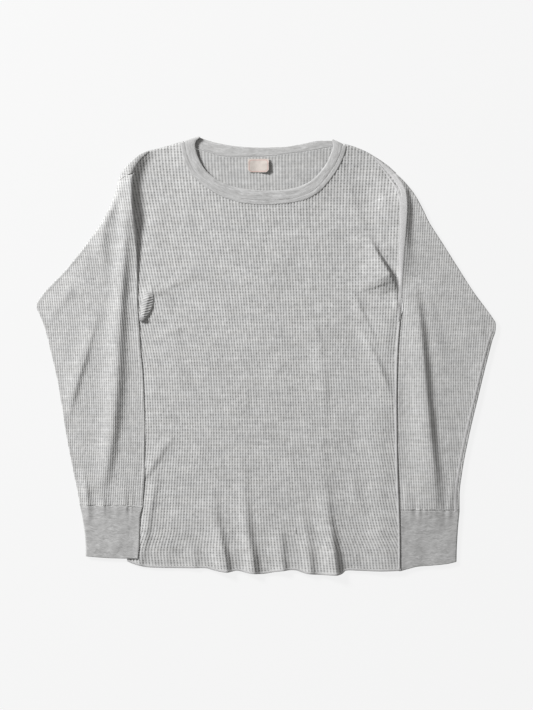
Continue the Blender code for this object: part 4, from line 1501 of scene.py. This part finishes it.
seamLook = {
    "lift": 0.25,
    "arch": 0.5,
    "tick": 0.1,
    "tickEvery": 2.6,
    "dips": (0.5, 0.5),  # how far its two edges go down
    "v": (-1, 1),
    "across": 9,
}


def seam(name, left, right, surface, material, slot, groove=None, grooveAcross=0.0, knit=None, **changes):
    look = {**seamLook, **changes}
    count = round(lengthOf(left) / 0.8)
    shares = np.linspace(0, 1, count + 1)
    left, right = sample(left, shares), sample(right, shares)
    s = np.linspace(-1, 1, look["across"])
    half = (right - left) / 2
    plan = (left + half)[:, None, :] + half[:, None, :] * s[None, :, None]
    middle = left + half
    along = np.concatenate([[0], np.cumsum(np.hypot(*np.diff(middle, axis=0).T))])
    hump = (1 - s**2)[None, :]
    z = surface(plan[..., 0], plan[..., 1]) + look["lift"] + look["arch"] * np.sqrt(hump)
    ticks = np.cos(2 * np.pi * (along[:, None] / look["tickEvery"] + 0.3 * s[None, :]))
    z = z + look["tick"] * ticks * hump
    if groove:
        z = z - groove(plan[..., 0], plan[..., 1]) * np.exp(-(((s - grooveAcross) / 0.16) ** 2))[None, :]
    z[:, 0] -= look["dips"][0]
    z[:, -1] -= look["dips"][1]
    points = np.dstack([plan, z]).reshape(-1, 3)
    low, high = look["v"]
    crossing = (low + (high - low) * (s + 1) / 2)[None, :]
    stitch = np.stack(np.broadcast_arrays(along[:, None] / 10, crossing), axis=-1)
    if knit:  # a strip of the waffle itself, in line with the wales beside it
        stitch = np.stack(stitchNumber(knit, plan[..., 0], plan[..., 1]), axis=-1)
    piece = addPiece(name, points, grid(len(plan), len(s)), stitch.reshape(-1, 2), material)
    return piece


necklineEdge = every(frontPiece["neckline"], 6)
neckSeam = seam(
    "necklineCoverstitch",
    shifted(necklineEdge, -0.8),
    shifted(necklineEdge, neckband["stripWidth"]),
    frontTop,
    bandKnit,
    "smooth_neckband",
    groove=lambda x, y: grooveAt(x),
    grooveAcross=-0.86,
    lift=0.42,
    arch=0.12,
    tick=0.04,
    dips=(0.2, 0.7),
    v=(1.6, 2.35),
)

armhole = {
    "left": [
        (169.6, 667),
        (180.8, 652.8),
        (192.5, 636.8),
        (200.8, 624),
        (207.5, 612.8),
        (211, 602),
        (213, 585.6),
        (213.2, 566),
        (212.8, 542),
        (212, 518),
        (211.7, 486),
        (211.5, 454),
        (210.4, 430),
        (209.4, 404),
    ],
    "right": [
        (175, 665.5),
        (193, 652),
        (211, 635.5),
        (218.4, 624),
        (222.9, 612.8),
        (225, 602),
        (225.6, 585.6),
        (224.6, 566),
        (223, 542),
        (221, 518),
        (219, 486),
        (217.4, 454),
        (215.4, 430),
        (212.6, 404),
    ],
}
armSeam = seam(
    "armholeFlatlockLeft",
    armhole["left"],
    armhole["right"],
    bodyOrLeftSleeve,
    edgeThread,
    "waffle_front",
    groove=lambda x, y: 1.8 * ease(y, 600, 14),
    grooveAcross=-0.42,
    lift=0.15,
    arch=0.5,
    dips=(0.0, 0.4),
    across=21,
)

edgeRise = [404, 342, 278, 200, 140, 100, 40, 8]
sideEdge = [(float(fromTable(bodyEdges, 2, y)) - 1.2, y) for y in edgeRise]
sideSeam = seam(
    "sideFoldStitches",
    shifted(sideEdge, 2.6),
    shifted(sideEdge, -0.6),
    frontTop,
    edgeThread,
    "waffle_front",
    lift=0.15,
    arch=0.3,
)

hemEdge = every(frontPiece["hem"], 8)
hemSeam = seam(
    "hemOverlockFront",
    hemEdge + (0, 3.4),
    hemEdge + (0, -0.2),
    frontTop,
    hemThread,
    "waffle_front",
    lift=0.1,
    arch=0.35,
    tick=0.16,
    tickEvery=2.4,
    dips=(0.4, 1.2),
)
backHemEdge = every(backPiece["hem"], 8)
backHemSeam = seam(
    "hemOverlockBack",
    backHemEdge + (0, 3.4),
    backHemEdge + (0, -0.2),
    lambda x, y: tuckRise(x, y) + levels["knit"],
    hemThread,
    "waffle_back",
    lift=0.05,
    arch=0.3,
    tick=0.16,
    tickEvery=2.4,
    dips=(0.4, 1.2),
)

sleeveHead = {
    "outer": [
        (-234.5, 631),
        (-233, 635),
        (-228.8, 643),
        (-224, 649.8),
        (-211, 662.4),
        (-198.4, 672),
        (-188, 676.4),
    ],
    "inner": [
        (-232, 630),
        (-226, 634),
        (-219, 637.5),
        (-212, 640.5),
        (-209, 647),
        (-203.5, 657),
        (-195, 667),
        (-187, 674.4),
    ],
}
headSeam = seam(
    "armholeFlatlockRight",
    sleeveHead["outer"],
    sleeveHead["inner"],
    bodyOrRightSleeve,
    sleeveKnit,
    "waffle_sleeve",
    knit=knitLattice(rightSleeve["knit"], rightSleeve["knitAxis"]),
    lift=0.3,
    arch=0.2,
    tick=0.05,
    dips=(3.0, 0.2),
    across=15,
)


def underarmLine(inset, low, high):
    rise = np.linspace(high, low, 24)
    return [(float(fromTable(leftSleeve["edges"], 1, y)) - inset, y) for y in rise]


underarmSeam = seam(
    "underarmFlatlockLeft",
    underarmLine(4.2, 100, 388),
    underarmLine(8.4, 100, 388),
    leftSleeveTop,
    seamThread,
    "waffle_sleeve",
    lift=0.1,
    arch=0.2,
)
print("seams made")

armpitTuck = {
    # x, y, half its width, height
    "line": [
        (-185.5, 451, 4.5, 0),
        (-187.6, 442, 8, 1.8),
        (-189.6, 432, 9, 3.4),
        (-192.2, 421, 7.6, 4.4),
        (-195.6, 411, 5, 4),
        (-198.6, 404, 2.6, 2),
    ],
    "ridges": 4.4,  # from one course to the next
    "ridgeDepth": 0.5,
    "slant": 0.6,
}


def buildTuck():  # a loose bulge of the body, pushed out beside the sleeve
    rows = sample(armpitTuck["line"], np.linspace(0, 1, 90))
    angles = np.radians(np.linspace(-90, 90, 27))
    along = np.concatenate([[0], np.cumsum(np.hypot(*np.diff(rows[:, :2], axis=0).T))])
    x = rows[:, 0, None] + rows[:, 2, None] * np.sin(angles)
    y = rows[:, 1, None] - 0.25 * (x - rows[:, 0, None])
    course = (along[:, None] + armpitTuck["slant"] * (x - rows[:, 0, None])) / armpitTuck["ridges"]
    ridge = armpitTuck["ridgeDepth"] * np.cos(2 * np.pi * course) * np.cos(angles) ** 0.5
    bulge = np.cos(angles) ** np.where(angles < 0, 1.5, 0.7)  # soft on one side, steep on the other
    z = frontSkin(x, y) - 0.3 + rows[:, 3, None] * bulge + ridge * np.minimum(1, rows[:, 3, None] / 2)
    points = np.dstack([x, y, z]).reshape(-1, 3)
    stitch = np.dstack([0 * x + 0.3, course]).reshape(-1, 2)  # it lies along one wale, off its ridge, so the knit's painted pit and gap shade darken it and draw dark bars across its courses
    piece = addPiece("armpitTuckWaffle", points, grid(*x.shape), stitch, frontKnit)
    return piece


tuck = buildTuck()
tuckEnd = seam(
    "armpitSeamEnd",
    [(-202.5, 411.5), (-198, 413), (-194, 412)],
    [(-202, 404.5), (-198, 404.5), (-194.5, 406)],
    lambda x, y: frontSkin(x, y) + 4.6 + 0.2 * (y - 404),
    seamThread,
    "waffle_front",
    lift=0.2,
    arch=0.3,
    tick=0.0,
)
print("armpit tuck made")

stageLook = {
    "tableSize": 6.0,  # metres from its middle to each side
    "tableZ": -0.0006,
    "tableGlow": 0.849,
    "tableGrey": 0.06,
    "keyPower": 330.0,
    "keySize": 1.1,
    "keyPlace": (-3.0, 2.3, 2.3),
    "fill": 0.31,
    "cameraHeight": 2.682,
    "lens": 85,
}


def buildStage():
    mesh = bpy.data.meshes.new("table")
    size, z = stageLook["tableSize"], stageLook["tableZ"]
    corners = [(-size, -size, z), (size, -size, z), (size, size, z), (-size, size, z)]
    mesh.from_pydata(corners, [], [(0, 1, 2, 3)])
    table = bpy.data.objects.new("table", mesh)
    bpy.context.scene.collection.objects.link(table)
    material = bpy.data.materials.new("paleTable")
    material.use_nodes = True
    shader = material.node_tree.nodes["Principled BSDF"]
    shader.inputs["Base Color"].default_value = (stageLook["tableGrey"],) * 3 + (1,)
    shader.inputs["Roughness"].default_value = 1.0
    shader.inputs["Specular IOR Level"].default_value = 0.0
    shader.inputs["Emission Color"].default_value = (1, 1, 1, 1)
    shader.inputs["Emission Strength"].default_value = stageLook["tableGlow"]
    mesh.materials.append(material)

    lamp = bpy.data.lights.new("key", "AREA")
    lamp.shape = "DISK"
    lamp.size = stageLook["keySize"]
    lamp.energy = stageLook["keyPower"]
    key = bpy.data.objects.new("key", lamp)
    bpy.context.scene.collection.objects.link(key)
    key.location = stageLook["keyPlace"]
    key.rotation_euler = (-key.location).to_track_quat("-Z", "Y").to_euler()

    world = bpy.data.worlds.new("studio")
    world.use_nodes = True
    background = world.node_tree.nodes["Background"]
    background.inputs["Color"].default_value = (1.0, 0.99, 0.97, 1)
    background.inputs["Strength"].default_value = stageLook["fill"]
    bpy.context.scene.world = world

    view = bpy.data.cameras.new("camera")
    view.lens = stageLook["lens"]
    view.sensor_width = 36
    view.clip_end = 50
    camera = bpy.data.objects.new("camera", view)
    bpy.context.scene.collection.objects.link(camera)
    camera.location = (0.0008, -0.0001, stageLook["cameraHeight"])
    bpy.context.scene.camera = camera
    bpy.context.scene.view_settings.view_transform = "Standard"


buildStage()
print("table, light and camera set")
